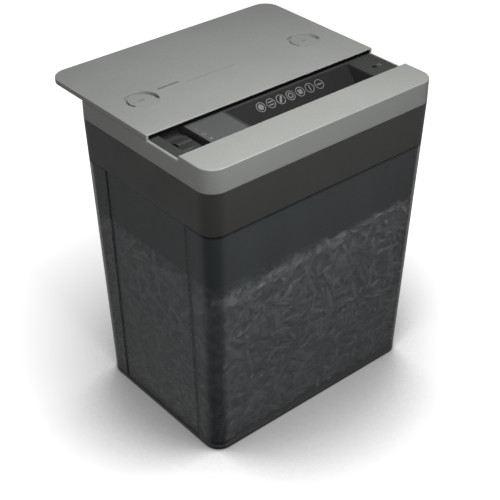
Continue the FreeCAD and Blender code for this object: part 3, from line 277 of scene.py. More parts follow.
def lensPlastic():
    material, tree, shader = newMaterial("lensClear")
    place = addNode(tree, "ShaderNodeTexCoord").outputs["Object"]
    haze = speckle(tree, place, lensFinish["hazeSize"])
    tree.links.new(scaledColour(tree, lensFinish["colour"], spread(tree, haze, *lensFinish["haze"])),
                   shader.inputs["Base Color"])
    tree.links.new(spread(tree, haze, *lensFinish["roughness"]), shader.inputs["Roughness"])
    shader.inputs["IOR"].default_value = lensFinish["ior"]
    return material


# metals: drawn or ground streaks, cloudy oil film, colour lighter along every edge

metalFinishes = {
    "cutterSteel": {"colour": (0.36, 0.355, 0.345), "roughness": 0.30, "streak": (1.0, 30.0, 30.0),
                    "oil": 0.35, "edgeLight": 0.5},
    "sheetSteel": {"colour": (0.46, 0.465, 0.46), "roughness": 0.36, "streak": (25.0, 1.0, 25.0),
                   "oil": 0.12, "edgeLight": 0.3},
    "screwSteel": {"colour": (0.22, 0.22, 0.215), "roughness": 0.34, "streak": (8.0, 8.0, 1.0),
                   "oil": 0.20, "edgeLight": 0.6},
    "bushBronze": {"colour": (0.42, 0.25, 0.11), "roughness": 0.40, "streak": (1.0, 20.0, 20.0),
                   "oil": 0.30, "edgeLight": 0.3},
}

metalPattern = {"edgeRadius": 0.0002, "streakSize": 0.008, "streakTone": (0.88, 1.12),
                "streakHeight": 0.0002, "filmSize": 0.014, "gloss": 0.08}


def streakedMetal(name):
    finish = metalFinishes[name]
    material, tree, shader = newMaterial(name)
    place = addNode(tree, "ShaderNodeTexCoord").outputs["Object"]
    soft, nearEdge = roundedEdges(tree, metalPattern["edgeRadius"])
    stretch = addNode(tree, "ShaderNodeMapping", {"Vector": place, "Scale": finish["streak"]})
    streaks = speckle(tree, stretch.outputs["Vector"], metalPattern["streakSize"], 4.0)
    film = speckle(tree, place, metalPattern["filmSize"], 4.0)
    tone = calculate(tree, "MULTIPLY", spread(tree, streaks, *metalPattern["streakTone"]),
                     spread(tree, film, 1 - finish["oil"], 1.0))
    # the colour is lighter near every edge
    lift = calculate(tree, "MULTIPLY_ADD", nearEdge, finish["edgeLight"])
    lift.node.inputs[2].default_value = 1.0
    tree.links.new(scaledColour(tree, finish["colour"], calculate(tree, "MULTIPLY", tone, lift)),
                   shader.inputs["Base Color"])
    gloss = metalPattern["gloss"]
    roughness = calculate(tree, "ADD", spread(tree, streaks, -gloss, gloss),
                          spread(tree, film, finish["roughness"] - gloss, finish["roughness"] + gloss))
    tree.links.new(roughness, shader.inputs["Roughness"])
    bump = addNode(tree, "ShaderNodeBump", {
        "Height": streaks, "Strength": 0.12, "Distance": metalPattern["streakHeight"], "Normal": soft})
    tree.links.new(bump.outputs["Normal"], shader.inputs["Normal"])
    shader.inputs["Metallic"].default_value = 1.0
    return material


# circuit board: green mask with paler tracks showing through

boardFinish = {"mask": (0.010, 0.075, 0.026, 1), "otherMask": (0.014, 0.095, 0.034, 1),
               "track": (0.055, 0.20, 0.075, 1), "tracksPerMetre": 110.0, "trackWidth": 0.06,
               "roughness": 0.28}


def boardLaminate():
    material, tree, shader = newMaterial("boardGreen")
    place = addNode(tree, "ShaderNodeTexCoord").outputs["Object"]
    tracks = addNode(tree, "ShaderNodeTexBrick", {
        "Vector": place, "Color1": boardFinish["mask"], "Color2": boardFinish["otherMask"],
        "Mortar": boardFinish["track"], "Scale": boardFinish["tracksPerMetre"],
        "Mortar Size": boardFinish["trackWidth"], "Brick Width": 1.3})
    tree.links.new(tracks.outputs["Color"], shader.inputs["Base Color"])
    bump = addNode(tree, "ShaderNodeBump", {
        "Height": tracks.outputs["Fac"], "Strength": 0.3, "Distance": 0.00005})
    tree.links.new(bump.outputs["Normal"], shader.inputs["Normal"])
    shader.inputs["Roughness"].default_value = boardFinish["roughness"]
    return material


# shredded office paper: each strip its own tint from grey to white, fibres and stray ink flecks

paperFinish = {
    "greyest": (0.48, 0.52, 0.55, 1),
    "whitest": (0.88, 0.88, 0.86, 1),
    "between": ((0.25, (0.60, 0.64, 0.67, 1)), (0.45, (0.70, 0.71, 0.71, 1)),
                (0.65, (0.80, 0.82, 0.83, 1))),
    "fibreSize": 0.0012,
    "fleckSize": 0.0022,
    "fleckDepth": 0.55,
    "roughness": 0.85,
}


def shredPaper():
    material, tree, shader = newMaterial("shredPaper")
    place = addNode(tree, "ShaderNodeTexCoord").outputs["Object"]
    tone = addNode(tree, "ShaderNodeAttribute", attribute_name="stripTone").outputs["Fac"]
    tints = addNode(tree, "ShaderNodeValToRGB", {"Fac": tone})
    ramp = tints.color_ramp
    ramp.elements[0].position = 0.0
    ramp.elements[0].color = paperFinish["greyest"]
    ramp.elements[1].position = 1.0
    ramp.elements[1].color = paperFinish["whitest"]
    for position, colour in paperFinish["between"]:
        ramp.elements.new(position).color = colour
    fibres = speckle(tree, place, paperFinish["fibreSize"], 5.0)
    flecks = speckle(tree, place, paperFinish["fleckSize"], 3.0)
    # only the greyer strips carry print
    printed = calculate(tree, "MULTIPLY", spread(tree, flecks, 0.0, paperFinish["fleckDepth"], 0.58, 0.64),
                        spread(tree, tone, 1.0, 0.0, 0.35, 0.55))
    amount = calculate(tree, "SUBTRACT", spread(tree, fibres, 0.92, 1.04), printed)
    tree.links.new(scaledColour(tree, tints.outputs["Color"], amount), shader.inputs["Base Color"])
    bump = addNode(tree, "ShaderNodeBump", {"Height": fibres, "Strength": 0.2, "Distance": 0.0001})
    tree.links.new(bump.outputs["Normal"], shader.inputs["Normal"])
    shader.inputs["Roughness"].default_value = paperFinish["roughness"]
    return material


# what lies deeper in the heap, seen only between the strips, with painted shade in the gaps between its
# cells

heapFinish = {"colour": (0.56, 0.60, 0.63), "cellsPerMetre": 140.0, "patchSize": 0.009,
              "cellHeight": 0.002, "roughness": 0.9}


def heapPaper():
    material, tree, shader = newMaterial("heapPaper")
    place = addNode(tree, "ShaderNodeTexCoord").outputs["Object"]
    cells = addNode(tree, "ShaderNodeTexVoronoi", {"Vector": place, "Scale": heapFinish["cellsPerMetre"]})
    heapPatches = speckle(tree, place, heapFinish["patchSize"], 5.0)
    # painted shade: each cell darker towards its edge; the colour also lighter and darker in patches
    amount = calculate(tree, "MULTIPLY", spread(tree, cells.outputs["Distance"], 1.1, 0.7, 0.1, 0.8),
                       spread(tree, heapPatches, 0.7, 1.2))
    tree.links.new(scaledColour(tree, heapFinish["colour"], amount), shader.inputs["Base Color"])
    bump = addNode(tree, "ShaderNodeBump", {
        "Height": cells.outputs["Distance"], "Strength": 0.8, "Distance": heapFinish["cellHeight"]})
    tree.links.new(bump.outputs["Normal"], shader.inputs["Normal"])
    shader.inputs["Roughness"].default_value = heapFinish["roughness"]
    return material


materials = {name: mouldedPlastic(name) for name in plasticFinishes}
materials.update({name: streakedMetal(name) for name in metalFinishes})
materials["smokedClear"] = smokedPlastic()
materials["lensClear"] = lensPlastic()
materials["boardGreen"] = boardLaminate()
materials["shredPaper"] = shredPaper()
materials["heapPaper"] = heapPaper()
print("materials made:", len(materials))


# which finish each CAD node wears

nodeFinishes = {
    "silverSatin": ["head_cover", "lid_skin"],
    "bandSatin": ["head_housing", "bin_base"],
    "smokedClear": ["bin_tub"],
    "deckSatin": ["control_deck"],
    "legendSatin": ["legend_plate"],
    "funnelMatte": ["throat_guide"],
    "carrierShadeBlack": ["lid_carrier"],
    "blackSatin": ["lid_runners", "slide_switch", "front_comb", "rear_comb",
                   "motor_cap", "motor_fan", "bin_switch", "interlock_plunger", "feed_lever",
                   "feed_switch", "terminal_block", "thermal_cutout"],
    "knobSatin": ["switch_knob"],
    "lensClear": ["light_pipe", "status_lamp"],
    "nylonWhite": ["first_gear", "second_gear"],
    "partBlue": ["board_components"],
    "wireRed": ["motor_leads"],
    "rubberBlack": ["base_feet", "cord_grommet"],
    "boardGreen": ["control_board"],
    "cutterSteel": ["front_cutter_shaft", "front_cutter_discs", "front_gear", "front_ring",
                    "rear_cutter_shaft", "rear_cutter_discs", "rear_gear", "rear_ring", "drive_gear",
                    "tie_rods", "gear_pins", "gear_standoffs", "motor_shaft", "interlock_spring",
                    "feed_lever_pin"],
    "sheetSteel": ["left_plate", "right_plate", "gear_plate", "rod_nuts", "motor_can"],
    "screwSteel": ["base_screws", "cover_screws", "deck_screws", "runner_screws", "chassis_screws",
                   "motor_screws"],
    "bushBronze": ["cutter_bushes"],
}


def wear(thing, material):
    if not thing.material_slots:
        thing.data.materials.append(material)
    for place in thing.material_slots:
        place.material = material


for finishName, nodeNames in nodeFinishes.items():
    for nodeName in nodeNames:
        wear(cadNodes[nodeName], materials[finishName])
cadNodes["bin_tub"].visible_shadow = False    # the smoked wall lets the studio's light in
print("CAD nodes finished")


def newPiece(name, mesh, material, body):
    piece = bpy.data.objects.new(name, mesh)
    bpy.context.scene.collection.objects.link(piece)
    mesh.materials.clear()
    mesh.materials.append(material)
    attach(piece, body)
    return piece


# the heap in the bin: a lumpy body of paper, higher away from the near left corner

heap = {
    "name": "paper_heap",
    "inset": 0.0022,            # behind the strips that lie against the bin's walls
    "cornerRadius": 0.0134,
    "lowCorner": 0.176,         # height of the heap at the near left corner
    "rise": 0.016,
    "riseLength": 0.20,
    "lumps": 0.0030,
    "lumpSize": 0.028,
    "wallLumps": 0.0012,
    "wallLumpSize": 0.012,
    "shoulder": 0.004,          # how far the heap drops where it meets the walls
    "around": 160,
    "levels": 34,
    "rings": 26,
}

paperLow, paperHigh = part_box("shredded_paper")
heapCentre = (paperLow + paperHigh) / 2
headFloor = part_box("head_housing")[0].z
paperPoints = [vertex.co for vertex in cadNodes["shredded_paper"].data.vertices]
footPoints = [point for point in paperPoints if point.z < paperLow.z + millimetre]
topHalf = Vector((paperHigh.x - heapCentre.x, paperHigh.y - heapCentre.y))
footHalf = Vector((max(point.x for point in footPoints) - heapCentre.x,
                   max(point.y for point in footPoints) - heapCentre.y))


def wallHalf(z):
    share = (z - paperLow.z) / (paperHigh.z - paperLow.z)
    return footHalf + (topHalf - footHalf) * share


def heapHeight(x, y):
    fromCorner = math.hypot(x - paperLow.x, y - paperLow.y)
    rise = heap["rise"] * min(1.0, fromCorner / heap["riseLength"])
    lump = noise.noise(Vector((x, y, 0.3)) / heap["lumpSize"])
    fine = noise.noise(Vector((x, y, 1.7)) / heap["lumpSize"] * 3)
    return heap["lowCorner"] + rise + heap["lumps"] * (lump + 0.5 * fine)


def roundedOutline(half, radius, steps):
    quarter = steps // 4
    points = []
    for corner, (signX, signY) in enumerate(((1, 1), (-1, 1), (-1, -1), (1, -1))):
        for step in range(quarter):
            angle = math.radians(90 * (corner + step / (quarter - 1)))
            points.append((signX * (half.x - radius) + radius * math.cos(angle),
                           signY * (half.y - radius) + radius * math.sin(angle)))
    return evenly(points, steps)


def evenly(points, count):
    # the same loop, with its points spaced evenly along it
    closed = np.array(points + points[:1])
    lengths = np.concatenate([[0.0], np.cumsum(np.hypot(*np.diff(closed, axis=0).T))])
    marks = np.linspace(0.0, lengths[-1], count, endpoint=False)
    return list(zip(np.interp(marks, lengths, closed[:, 0]), np.interp(marks, lengths, closed[:, 1])))


def heapMesh():
    shape = bmesh.new()
    loops = []
    inset = Vector((heap["inset"], heap["inset"]))
    radius = heap["cornerRadius"] - heap["inset"]
    for level in range(heap["levels"]):
        share = level / (heap["levels"] - 1)
        loop = []
        for x, y in roundedOutline(topHalf - inset, radius, heap["around"]):
            top = heapHeight(x + heapCentre.x, y + heapCentre.y) - heap["shoulder"]
            z = paperLow.z + (top - paperLow.z) * share
            shrink = (wallHalf(z).x - heap["inset"]) / (topHalf.x - heap["inset"])
            lump = noise.noise(Vector((x, y, z)) / heap["wallLumpSize"])
            bulge = 1 + heap["wallLumps"] * lump / topHalf.y
            loop.append(shape.verts.new((heapCentre.x + x * shrink * bulge,
                                         heapCentre.y + y * shrink * bulge, z)))
        loops.append(loop)
    crown = [vertex.co.copy() for vertex in loops[-1]]
    for ring in range(1, heap["rings"]):
        share = 1 - ring / heap["rings"]
        loop = []
        for edge in crown:
            x = heapCentre.x + (edge.x - heapCentre.x) * share
            y = heapCentre.y + (edge.y - heapCentre.y) * share
            shoulder = heap["shoulder"] * share ** 8
            loop.append(shape.verts.new((x, y, heapHeight(x, y) - shoulder)))
        loops.append(loop)
    for lower, upper in zip(loops, loops[1:]):
        for i in range(heap["around"]):
            following = (i + 1) % heap["around"]
            shape.faces.new((lower[i], lower[following], upper[following], upper[i]))
    peak = shape.verts.new((heapCentre.x, heapCentre.y, heapHeight(heapCentre.x, heapCentre.y)))
    for i in range(heap["around"]):
        shape.faces.new((loops[-1][i], loops[-1][(i + 1) % heap["around"]], peak))
    shape.faces.new(loops[0][::-1])
    bmesh.ops.recalc_face_normals(shape, faces=shape.faces)
    mesh = bpy.data.meshes.new(heap["name"])
    shape.to_mesh(mesh)
    shape.free()
    mesh.shade_smooth()
    return mesh


# the loose strips: scattered over the heap, each bowed or twisted, then laid against the walls

strips = {
    "name": "paper_strips",
    "length": 0.031,
    "width": 0.0046,
    "thickness": 0.00018,
    "perSquareMetre": 12000.0,
    "bow": 0.0022,
    "twist": 55.0,
    "tilt": 0.13,
    "looseTop": 0.45,
    "standOff": 0.0022,
    "segments": 5,
    "seed": 7,
    "bends": ((1.0, 0.2), (-0.5, 0.5), (0.3, -1.0), (0.6, 1.0), (0.0, 0.1)),    # bow, twist
    "smallest": (0.45, 0.85, 1.0),
    "largest": (1.15, 1.05, 1.0),
}


def randomValue(tree, low, high, seed, vector=False):
    # the node has a pair of limits for each kind of value and one seed, told apart by number
    kind = "FLOAT_VECTOR" if vector else "FLOAT"
    node = addNode(tree, "FunctionNodeRandomValue", data_type=kind)
    lowSocket, highSocket = (0, 1) if vector else (2, 3)
    for index, value in ((lowSocket, low), (highSocket, high), (8, seed)):
        if isinstance(value, bpy.types.NodeSocket):
            tree.links.new(value, node.inputs[index])
        else:
            node.inputs[index].default_value = value
    return node.outputs[0 if vector else 1]


def bentStrip(tree, given, bow, twist):
    # one strip as an instance, its middle raised by the bow and its ends turned by the twist
    grid = addNode(tree, "GeometryNodeMeshGrid", {
        "Size X": given["Strip Length"], "Size Y": given["Strip Width"],
        "Vertices X": strips["segments"] + 1, "Vertices Y": 2})
    position = addNode(tree, "GeometryNodeInputPosition").outputs["Position"]
    parts = addNode(tree, "ShaderNodeSeparateXYZ", {"Vector": position})
    along = calculate(tree, "DIVIDE", parts.outputs["X"], given["Strip Length"])
    arch = calculate(tree, "COSINE", calculate(tree, "MULTIPLY", along, math.pi))
    raised = calculate(tree, "MULTIPLY", calculate(tree, "MULTIPLY", arch, given["Bow"]), bow)
    turned = calculate(tree, "MULTIPLY", calculate(
        tree, "MULTIPLY", parts.outputs["X"], parts.outputs["Y"]), given["Twist"])
    height = calculate(tree, "ADD", raised, calculate(tree, "MULTIPLY", turned, twist))
    offset = addNode(tree, "ShaderNodeCombineXYZ", {"Z": height})
    bent = addNode(tree, "GeometryNodeSetPosition", {
        "Geometry": grid.outputs["Mesh"], "Offset": offset.outputs["Vector"]})
    return addNode(tree, "GeometryNodeGeometryToInstance", {
        "Geometry": bent.outputs["Geometry"]}).outputs["Instances"]


def stripTree():
    tree = bpy.data.node_groups.new("scatterStrips", "GeometryNodeTree")
    tree.interface.new_socket("Heap", in_out="INPUT", socket_type="NodeSocketGeometry")
    for name in ("Strip Length", "Strip Width", "Density", "Bow", "Twist", "Tilt", "Loose Top",
                 "Stand Off"):
        tree.interface.new_socket(name, in_out="INPUT", socket_type="NodeSocketFloat")
    tree.interface.new_socket("Seed", in_out="INPUT", socket_type="NodeSocketInt")
    tree.interface.new_socket("Paper", in_out="INPUT", socket_type="NodeSocketMaterial")
    tree.interface.new_socket("Strips", in_out="OUTPUT", socket_type="NodeSocketGeometry")
    given = addNode(tree, "NodeGroupInput").outputs

    normal = addNode(tree, "GeometryNodeInputNormal").outputs["Normal"]
    upward = addNode(tree, "ShaderNodeSeparateXYZ", {"Vector": normal}).outputs["Z"]
    notBelow = addNode(tree, "FunctionNodeCompare", {0: upward, 1: -0.5}, data_type="FLOAT",
                       operation="GREATER_THAN")
    scatter = addNode(tree, "GeometryNodeDistributePointsOnFaces", {
        "Mesh": given["Heap"], "Selection": notBelow.outputs["Result"], "Density": given["Density"],
        "Seed": given["Seed"]})
    lift = addNode(tree, "ShaderNodeVectorMath", {
        0: scatter.outputs["Normal"], "Scale": randomValue(tree, 0.0, given["Stand Off"], 1)},
        operation="SCALE")
    points = addNode(tree, "GeometryNodeSetPosition", {
        "Geometry": scatter.outputs["Points"], "Offset": lift.outputs["Vector"]})

    facingUp = addNode(tree, "ShaderNodeSeparateXYZ", {"Vector": scatter.outputs["Normal"]}).outputs["Z"]
    looseness = addNode(tree, "ShaderNodeMapRange", {
        "Value": facingUp, "From Min": 0.2, "From Max": 0.9, "To Min": given["Tilt"],
        "To Max": given["Loose Top"]}).outputs["Result"]
    wobble = addNode(tree, "ShaderNodeCombineXYZ", {
        "X": calculate(tree, "MULTIPLY", looseness, randomValue(tree, -1.0, 1.0, 2)),
        "Y": calculate(tree, "MULTIPLY", looseness, randomValue(tree, -1.0, 1.0, 3)),
        "Z": randomValue(tree, -math.pi, math.pi, 4)})
    turn = addNode(tree, "FunctionNodeRotateRotation", {
        "Rotation": scatter.outputs["Rotation"],
        "Rotate By": addNode(tree, "FunctionNodeEulerToRotation", {
            "Euler": wobble.outputs["Vector"]}).outputs["Rotation"]}, rotation_space="LOCAL")

    choices = addNode(tree, "GeometryNodeJoinGeometry")
    for bow, twist in strips["bends"]:
        tree.links.new(bentStrip(tree, given, bow, twist), choices.inputs["Geometry"])
    # this node's sockets 4, 5 and 8 are its whole-number limits and its seed
    pick = addNode(tree, "FunctionNodeRandomValue", {4: 0, 5: len(strips["bends"]) - 1, 8: 5},
                   data_type="INT").outputs[2]
    laid = addNode(tree, "GeometryNodeInstanceOnPoints", {
        "Points": points.outputs["Geometry"], "Instance": choices.outputs["Geometry"],
        "Pick Instance": True, "Instance Index": pick, "Rotation": turn.outputs["Rotation"],
        "Scale": randomValue(tree, strips["smallest"], strips["largest"], 6, vector=True)})
    toned = addNode(tree, "GeometryNodeStoreNamedAttribute", {
        "Geometry": laid.outputs["Instances"], "Name": "stripTone",
        "Value": randomValue(tree, 0.0, 1.0, 9)}, data_type="FLOAT", domain="INSTANCE")
    realised = addNode(tree, "GeometryNodeRealizeInstances", {"Geometry": toned.outputs["Geometry"]})
    painted = addNode(tree, "GeometryNodeSetMaterial", {
        "Geometry": realised.outputs["Geometry"], "Material": given["Paper"]})
    addNode(tree, "NodeGroupOutput", {"Strips": painted.outputs["Geometry"]})
    return tree


def setInput(modifier, name, value):
    for item in modifier.node_group.interface.items_tree:
        if item.item_type == "SOCKET" and item.in_out == "INPUT" and item.name == name:
            modifier[item.identifier] = value


def plainMesh(thing, name):
    graph = bpy.context.evaluated_depsgraph_get()
    mesh = bpy.data.meshes.new_from_object(
        thing.evaluated_get(graph), preserve_all_data_layers=True, depsgraph=graph)
    mesh.name = name
    return mesh


def keepInBin(mesh):
    # a strip that would reach through a wall lies flat against it
    points = np.empty(len(mesh.vertices) * 3)
    mesh.vertices.foreach_get("co", points)
    points = points.reshape(-1, 3)
    points[:, 2] = np.clip(points[:, 2], paperLow.z, headFloor - millimetre)
    share = ((points[:, 2] - paperLow.z) / (paperHigh.z - paperLow.z))[:, None]
    half = np.array(footHalf) + (np.array(topHalf) - np.array(footHalf)) * share
    flat = points[:, :2] - np.array(heapCentre.xy)
    straight = half - heap["cornerRadius"]
    over = np.maximum(np.abs(flat) - straight, 0.0)
    reach = np.linalg.norm(over, axis=1, keepdims=True)
    held = over * np.minimum(1.0, heap["cornerRadius"] / np.maximum(reach, 1e-9))
    kept = np.where(over > 0, straight + held, np.abs(flat)) * np.sign(flat)
    points[:, :2] = kept + np.array(heapCentre.xy)
    mesh.vertices.foreach_set("co", points.ravel())
    mesh.update()


def makeShreds():
    body = heapMesh()
    carrier = bpy.data.objects.new("heapCarrier", body.copy())
    bpy.context.scene.collection.objects.link(carrier)
    scatter = carrier.modifiers.new("scatter", "NODES")
    scatter.node_group = stripTree()
    for name, value in (("Strip Length", strips["length"]), ("Strip Width", strips["width"]),
                        ("Density", strips["perSquareMetre"]), ("Bow", strips["bow"]),
                        ("Twist", strips["twist"]), ("Tilt", strips["tilt"]),
                        ("Loose Top", strips["looseTop"]), ("Stand Off", strips["standOff"]),
                        ("Seed", strips["seed"]), ("Paper", materials["shredPaper"])):
        setInput(scatter, name, value)
    flat = plainMesh(carrier, "flatStrips")
    keepInBin(flat)
    carrier.modifiers.remove(scatter)
    carrier.data = flat
    sheet = carrier.modifiers.new("paper", "SOLIDIFY")
    sheet.thickness = strips["thickness"]
    sheet.offset = -1.0
    loose = plainMesh(carrier, strips["name"])
    bpy.data.objects.remove(carrier)
    stripPiece = newPiece(strips["name"], loose, materials["shredPaper"], "bin")
    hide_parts("shredded_paper")
    newPiece(heap["name"], body, materials["heapPaper"], "bin")
    print("shreds made:", len(loose.polygons), "faces of strips")


makeShreds()


# printed marks: films of ink a few hundredths of a millimetre thick

inkThickness = 0.00006


def filmMesh(name, outlines, z):
    shape = bmesh.new()
    for outline in outlines:
        face = shape.faces.new([shape.verts.new((x, y, z)) for x, y in outline])
        raised = bmesh.ops.extrude_face_region(shape, geom=[face])
        top = [item for item in raised["geom"] if isinstance(item, bmesh.types.BMVert)]
        bmesh.ops.translate(shape, verts=top, vec=(0, 0, inkThickness))
    bmesh.ops.recalc_face_normals(shape, faces=shape.faces)
    mesh = bpy.data.meshes.new(name)
    shape.to_mesh(mesh)
    shape.free()
    return mesh


def bar(left, near, width, depth):
    return [(left, near), (left + width, near), (left + width, near + depth), (left, near + depth)]


def arrow(x, y, size):
    # points to the front
    return [(x - size / 2, y + size / 3), (x, y - size / 2), (x + size / 2, y + size / 3)]


def ringOutlines(x, y, radius, width, steps=20):
    outlines = []
    for step in range(steps):
        first, second = (2 * math.pi * turn / steps for turn in (step, step + 1))
        outlines.append([(x + reach * math.cos(angle), y + reach * math.sin(angle))
                         for reach, angle in ((radius - width, first), (radius, first),
                                              (radius, second), (radius - width, second))])
    return outlines


lidMarks = {"barLeft": 0.0594, "barSetback": 0.0620, "barWidth": 0.024, "barDepth": 0.0026,
            "lineWidth": 0.058, "lineDepth": 0.0004, "lineGap": 0.003, "lineDrop": 0.0042,
            "dishSide": 0.098, "dishSetback": 0.0568, "dishMarkWidth": 0.0062,
            "dishMarkDepth": 0.0011, "dishMarkLift": 0.00012}


def makeLidMarks():
    low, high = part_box("lid_skin")
    barLeft = low.x + lidMarks["barLeft"]
    barNear = low.y + lidMarks["barSetback"]
    lineLeft = barLeft + lidMarks["barWidth"] + lidMarks["lineGap"]
    outlines = [bar(barLeft, barNear, lidMarks["barWidth"], lidMarks["barDepth"]),
                bar(lineLeft, barNear - lidMarks["lineDrop"], lidMarks["lineWidth"],
                    lidMarks["lineDepth"])]
    newPiece("lid_print", filmMesh("lid_print", outlines, high.z), materials["darkInk"], "lid")
    # a short dash on the sunk floor of each finger dish, dropped onto it from above
    skin = cadNodes["lid_skin"].data
    surface = BVHTree.FromPolygons([vertex.co for vertex in skin.vertices],
                                   [list(face.vertices) for face in skin.polygons])
    wide, deep = lidMarks["dishMarkWidth"], lidMarks["dishMarkDepth"]
    for name, x in (("left", -lidMarks["dishSide"]), ("right", lidMarks["dishSide"])):
        y = low.y + lidMarks["dishSetback"]
        floor = surface.ray_cast(Vector((x, y, high.z + millimetre)), Vector((0, 0, -1)))[0]
        dash = filmMesh("dish_print_" + name, [bar(x - wide / 2, y - deep / 2, wide, deep)],
                        floor.z + lidMarks["dishMarkLift"])
        newPiece("dish_print_" + name, dash, materials["darkInk"], "lid")


deckMarks = {"inset": 0.0044, "bar": (0.0008, 0.0048), "ring": 0.0022, "ringWidth": 0.0007,
             "arrow": 0.0042, "lampGap": 0.0070, "lampBar": (0.0040, 0.0009), "lampStep": 0.0026}


def makeDeckMarks():
    low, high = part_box("legend_plate")
    x = low.x + deckMarks["inset"]
    step = (high.y - low.y) / 4
    wide, deep = deckMarks["bar"]
    outlines = [bar(x - wide / 2, low.y + 3 * step - deep / 2, wide, deep)]
    outlines += ringOutlines(x, low.y + 2 * step, deckMarks["ring"], deckMarks["ringWidth"])
    outlines.append(arrow(x, low.y + step, deckMarks["arrow"]))
    lampLow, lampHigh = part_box("light_pipe")
    lamp = (lampLow + lampHigh) / 2
    wide, deep = deckMarks["lampBar"]
    newPiece("legend_print", filmMesh("legend_print", outlines, high.z), materials["markInk"], "head")
    left = lamp.x + deckMarks["lampGap"] - wide / 2
    lampMark = [bar(left, lamp.y + side * deckMarks["lampStep"] - deep / 2, wide, deep)
                for side in (-0.5, 0.5)]
    newPiece("lamp_print", filmMesh("lamp_print", lampMark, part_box("control_deck")[1].z),
             materials["markInk"], "head")


funnelMarks = {"count": 7, "ringWidth": 0.0008, "inner": 0.0030, "stroke": 0.0012}


def innerShape(kind, x, reach, stroke):
    # plain shapes that say nothing: disc, pair of bars, slanted bar, ring, square, single bars
    disc = [(x + reach * math.cos(turn), reach * math.sin(turn))
            for turn in (2 * math.pi * step / 16 for step in range(16))]
    upright = bar(x - stroke / 2, -reach, stroke, 2 * reach)
    level = bar(x - reach, -stroke / 2, 2 * reach, stroke)
    slanted = [(x - reach, -reach), (x - reach + 2 * stroke, -reach), (x + reach, reach),
               (x + reach - 2 * stroke, reach)]
    square = bar(x - reach * 0.8, -reach * 0.8, reach * 1.6, reach * 1.6)
    pair = [bar(x - reach, side - stroke / 2, 2 * reach, stroke) for side in (-reach / 2, reach / 2)]
    choices = ([disc], pair, [slanted], ringOutlines(x, 0, reach, stroke), [square], [upright], [level])
    return choices[kind % len(choices)]


def makeFunnelMarks():
    # flat rings drawn about the origin, then turned and moved onto the funnel's slope
    vertices = [vertex.co for vertex in cadNodes["guide_marks"].data.vertices]
    low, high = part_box("guide_marks")
    slope = math.atan2(high.z - low.z, high.y - low.y)
    normal = Vector((0, -math.sin(slope), math.cos(slope)))
    radius = (high.y - low.y) / math.cos(slope) / 2
    pitch = (high.x - low.x - 2 * radius) / (funnelMarks["count"] - 1)
    outlines = []
    for index in range(funnelMarks["count"]):
        x = low.x + radius + index * pitch
        outlines += ringOutlines(x, 0, radius, funnelMarks["ringWidth"])
        outlines += innerShape(index, x, funnelMarks["inner"], funnelMarks["stroke"])
    mesh = filmMesh("funnel_print", outlines, 0.0)
    face = max(normal.dot(point) for point in vertices) - inkThickness
    middle = (low + high) / 2
    origin = Vector((0, middle.y, middle.z))
    origin += normal * (face - normal.dot(origin))
    turned = Matrix.Translation(origin) @ Matrix.Rotation(slope, 4, "X")
    mesh.transform(turned)
    piece = newPiece("funnel_print", mesh, materials["funnelInk"], "head")
    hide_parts("guide_marks")


makeLidMarks()
makeDeckMarks()
makeFunnelMarks()
print("printed marks made")


# the studio: pale floor, soft key above the front, dark surroundings on the camera's side

studio = {
    "floorColour": (0.86, 0.86, 0.86),
    "floorSize": 40.0,
    "floorGlow": 0.88,
    "shadowReach": 0.27,        # how far the soft shadow spreads round the machine
    "shadowDepth": 0.80,
    "shadowRange": (0.60, 0.99),
    "skyHigh": 0.05,
    "skyLow": 0.17,
    "skyBelow": 0.34,
    "skyFade": (-0.15, 0.02),   # heights between which the surroundings below fade out
    "dimSide": 0.06,            # what is left of the surroundings on the camera's side
    "dimRange": (0.2, 0.6),
    "aim": (0.0, 0.0, 0.2),
    "lights": (
        ("keySoftbox", (-0.03, -0.26, 0.72), 0.34, 4.4),
        ("leftCard", (-0.52, -0.40, 0.42), 0.26, 1.1),
        ("rearCard", (-0.25, 0.95, 0.35), 0.50, 1.6),
    ),
    "cameraPlace": (-0.6282, -0.7486, 0.7977),
    "cameraView": (0.5345, 0.6271, -0.5667),
    "lens": 83.77,
    "sensorWidth": 36.0,
}


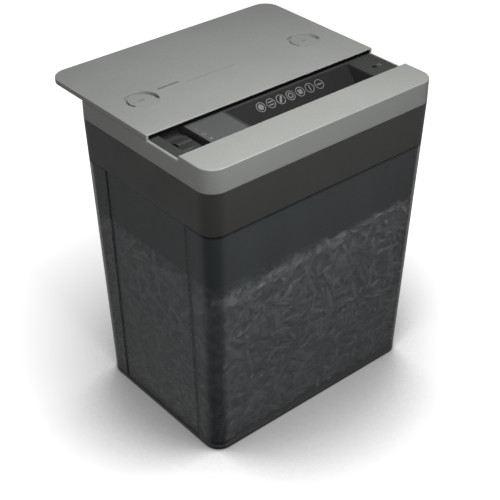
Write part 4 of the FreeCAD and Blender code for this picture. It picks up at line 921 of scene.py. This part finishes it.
def makeFloor():
    half = studio["floorSize"] / 2
    mesh = bpy.data.meshes.new("floor")
    corners = [(-half, -half, 0), (half, -half, 0), (half, half, 0), (-half, half, 0)]
    mesh.from_pydata(corners, [], [(0, 1, 2, 3)])
    floor = bpy.data.objects.new("floor", mesh)
    bpy.context.scene.collection.objects.link(floor)
    material, tree, shader = newMaterial("floorPale")
    place = addNode(tree, "ShaderNodeTexCoord").outputs["Object"]
    openness = addNode(tree, "ShaderNodeAmbientOcclusion", {"Distance": studio["shadowReach"]}, samples=12)
    shade = spread(tree, openness.outputs["AO"], 1 - studio["shadowDepth"], 1.0, *studio["shadowRange"])
    tone = calculate(tree, "MULTIPLY", shade, spread(tree, speckle(tree, place, 0.3, 3.0), 0.985, 1.015))
    tree.links.new(scaledColour(tree, studio["floorColour"], tone), shader.inputs["Base Color"])
    glow = calculate(tree, "MULTIPLY", shade, studio["floorGlow"])
    tree.links.new(glow, shader.inputs["Emission Strength"])
    shader.inputs["Emission Color"].default_value = (1.0, 1.0, 1.0, 1.0)
    shader.inputs["Roughness"].default_value = 0.9
    mesh.materials.append(material)
    floor.visible_diffuse = False
    floor.visible_glossy = False


def makeSky():
    world = bpy.data.worlds.new("studioWorld")
    bpy.context.scene.world = world
    world.use_nodes = True
    tree = world.node_tree
    direction = addNode(tree, "ShaderNodeTexCoord").outputs["Generated"]
    height = addNode(tree, "ShaderNodeSeparateXYZ", {"Vector": direction}).outputs["Z"]
    upper = spread(tree, height, studio["skyLow"], studio["skyHigh"], 0.0, 0.9)
    strength = addNode(tree, "ShaderNodeMapRange", {
        "Value": height, "From Min": studio["skyFade"][0], "From Max": studio["skyFade"][1],
        "To Min": studio["skyBelow"], "To Max": upper}).outputs["Result"]
    azimuth = addNode(tree, "ShaderNodeVectorMath", {
        0: direction, 1: Vector(studio["cameraPlace"]).xy.normalized().to_3d()},
        operation="DOT_PRODUCT").outputs["Value"]
    dimming = spread(tree, azimuth, 1.0, studio["dimSide"], *studio["dimRange"])
    dimmed = calculate(tree, "MULTIPLY", strength, dimming)
    tree.links.new(dimmed, tree.nodes["Background"].inputs["Strength"])
    tree.nodes["Background"].inputs["Color"].default_value = (1.0, 1.0, 1.0, 1.0)


def makeLights():
    for name, place, size, power in studio["lights"]:
        light = bpy.data.lights.new(name, "AREA")
        light.shape = "SQUARE"
        light.size = size
        light.energy = power
        lamp = bpy.data.objects.new(name, light)
        bpy.context.scene.collection.objects.link(lamp)
        lamp.location = place
        aim = Vector(studio["aim"]) - Vector(place)
        lamp.rotation_euler = aim.to_track_quat("-Z", "Y").to_euler()


def makeCamera():
    camera = bpy.data.objects.new("camera", bpy.data.cameras.new("camera"))
    bpy.context.scene.collection.objects.link(camera)
    camera.data.lens = studio["lens"]
    camera.data.sensor_width = studio["sensorWidth"]
    camera.location = studio["cameraPlace"]
    camera.rotation_euler = Vector(studio["cameraView"]).to_track_quat("-Z", "Y").to_euler()
    bpy.context.scene.camera = camera


makeFloor()
makeSky()
makeLights()
makeCamera()
bpy.context.scene.view_settings.view_transform = "Standard"
print("studio ready")
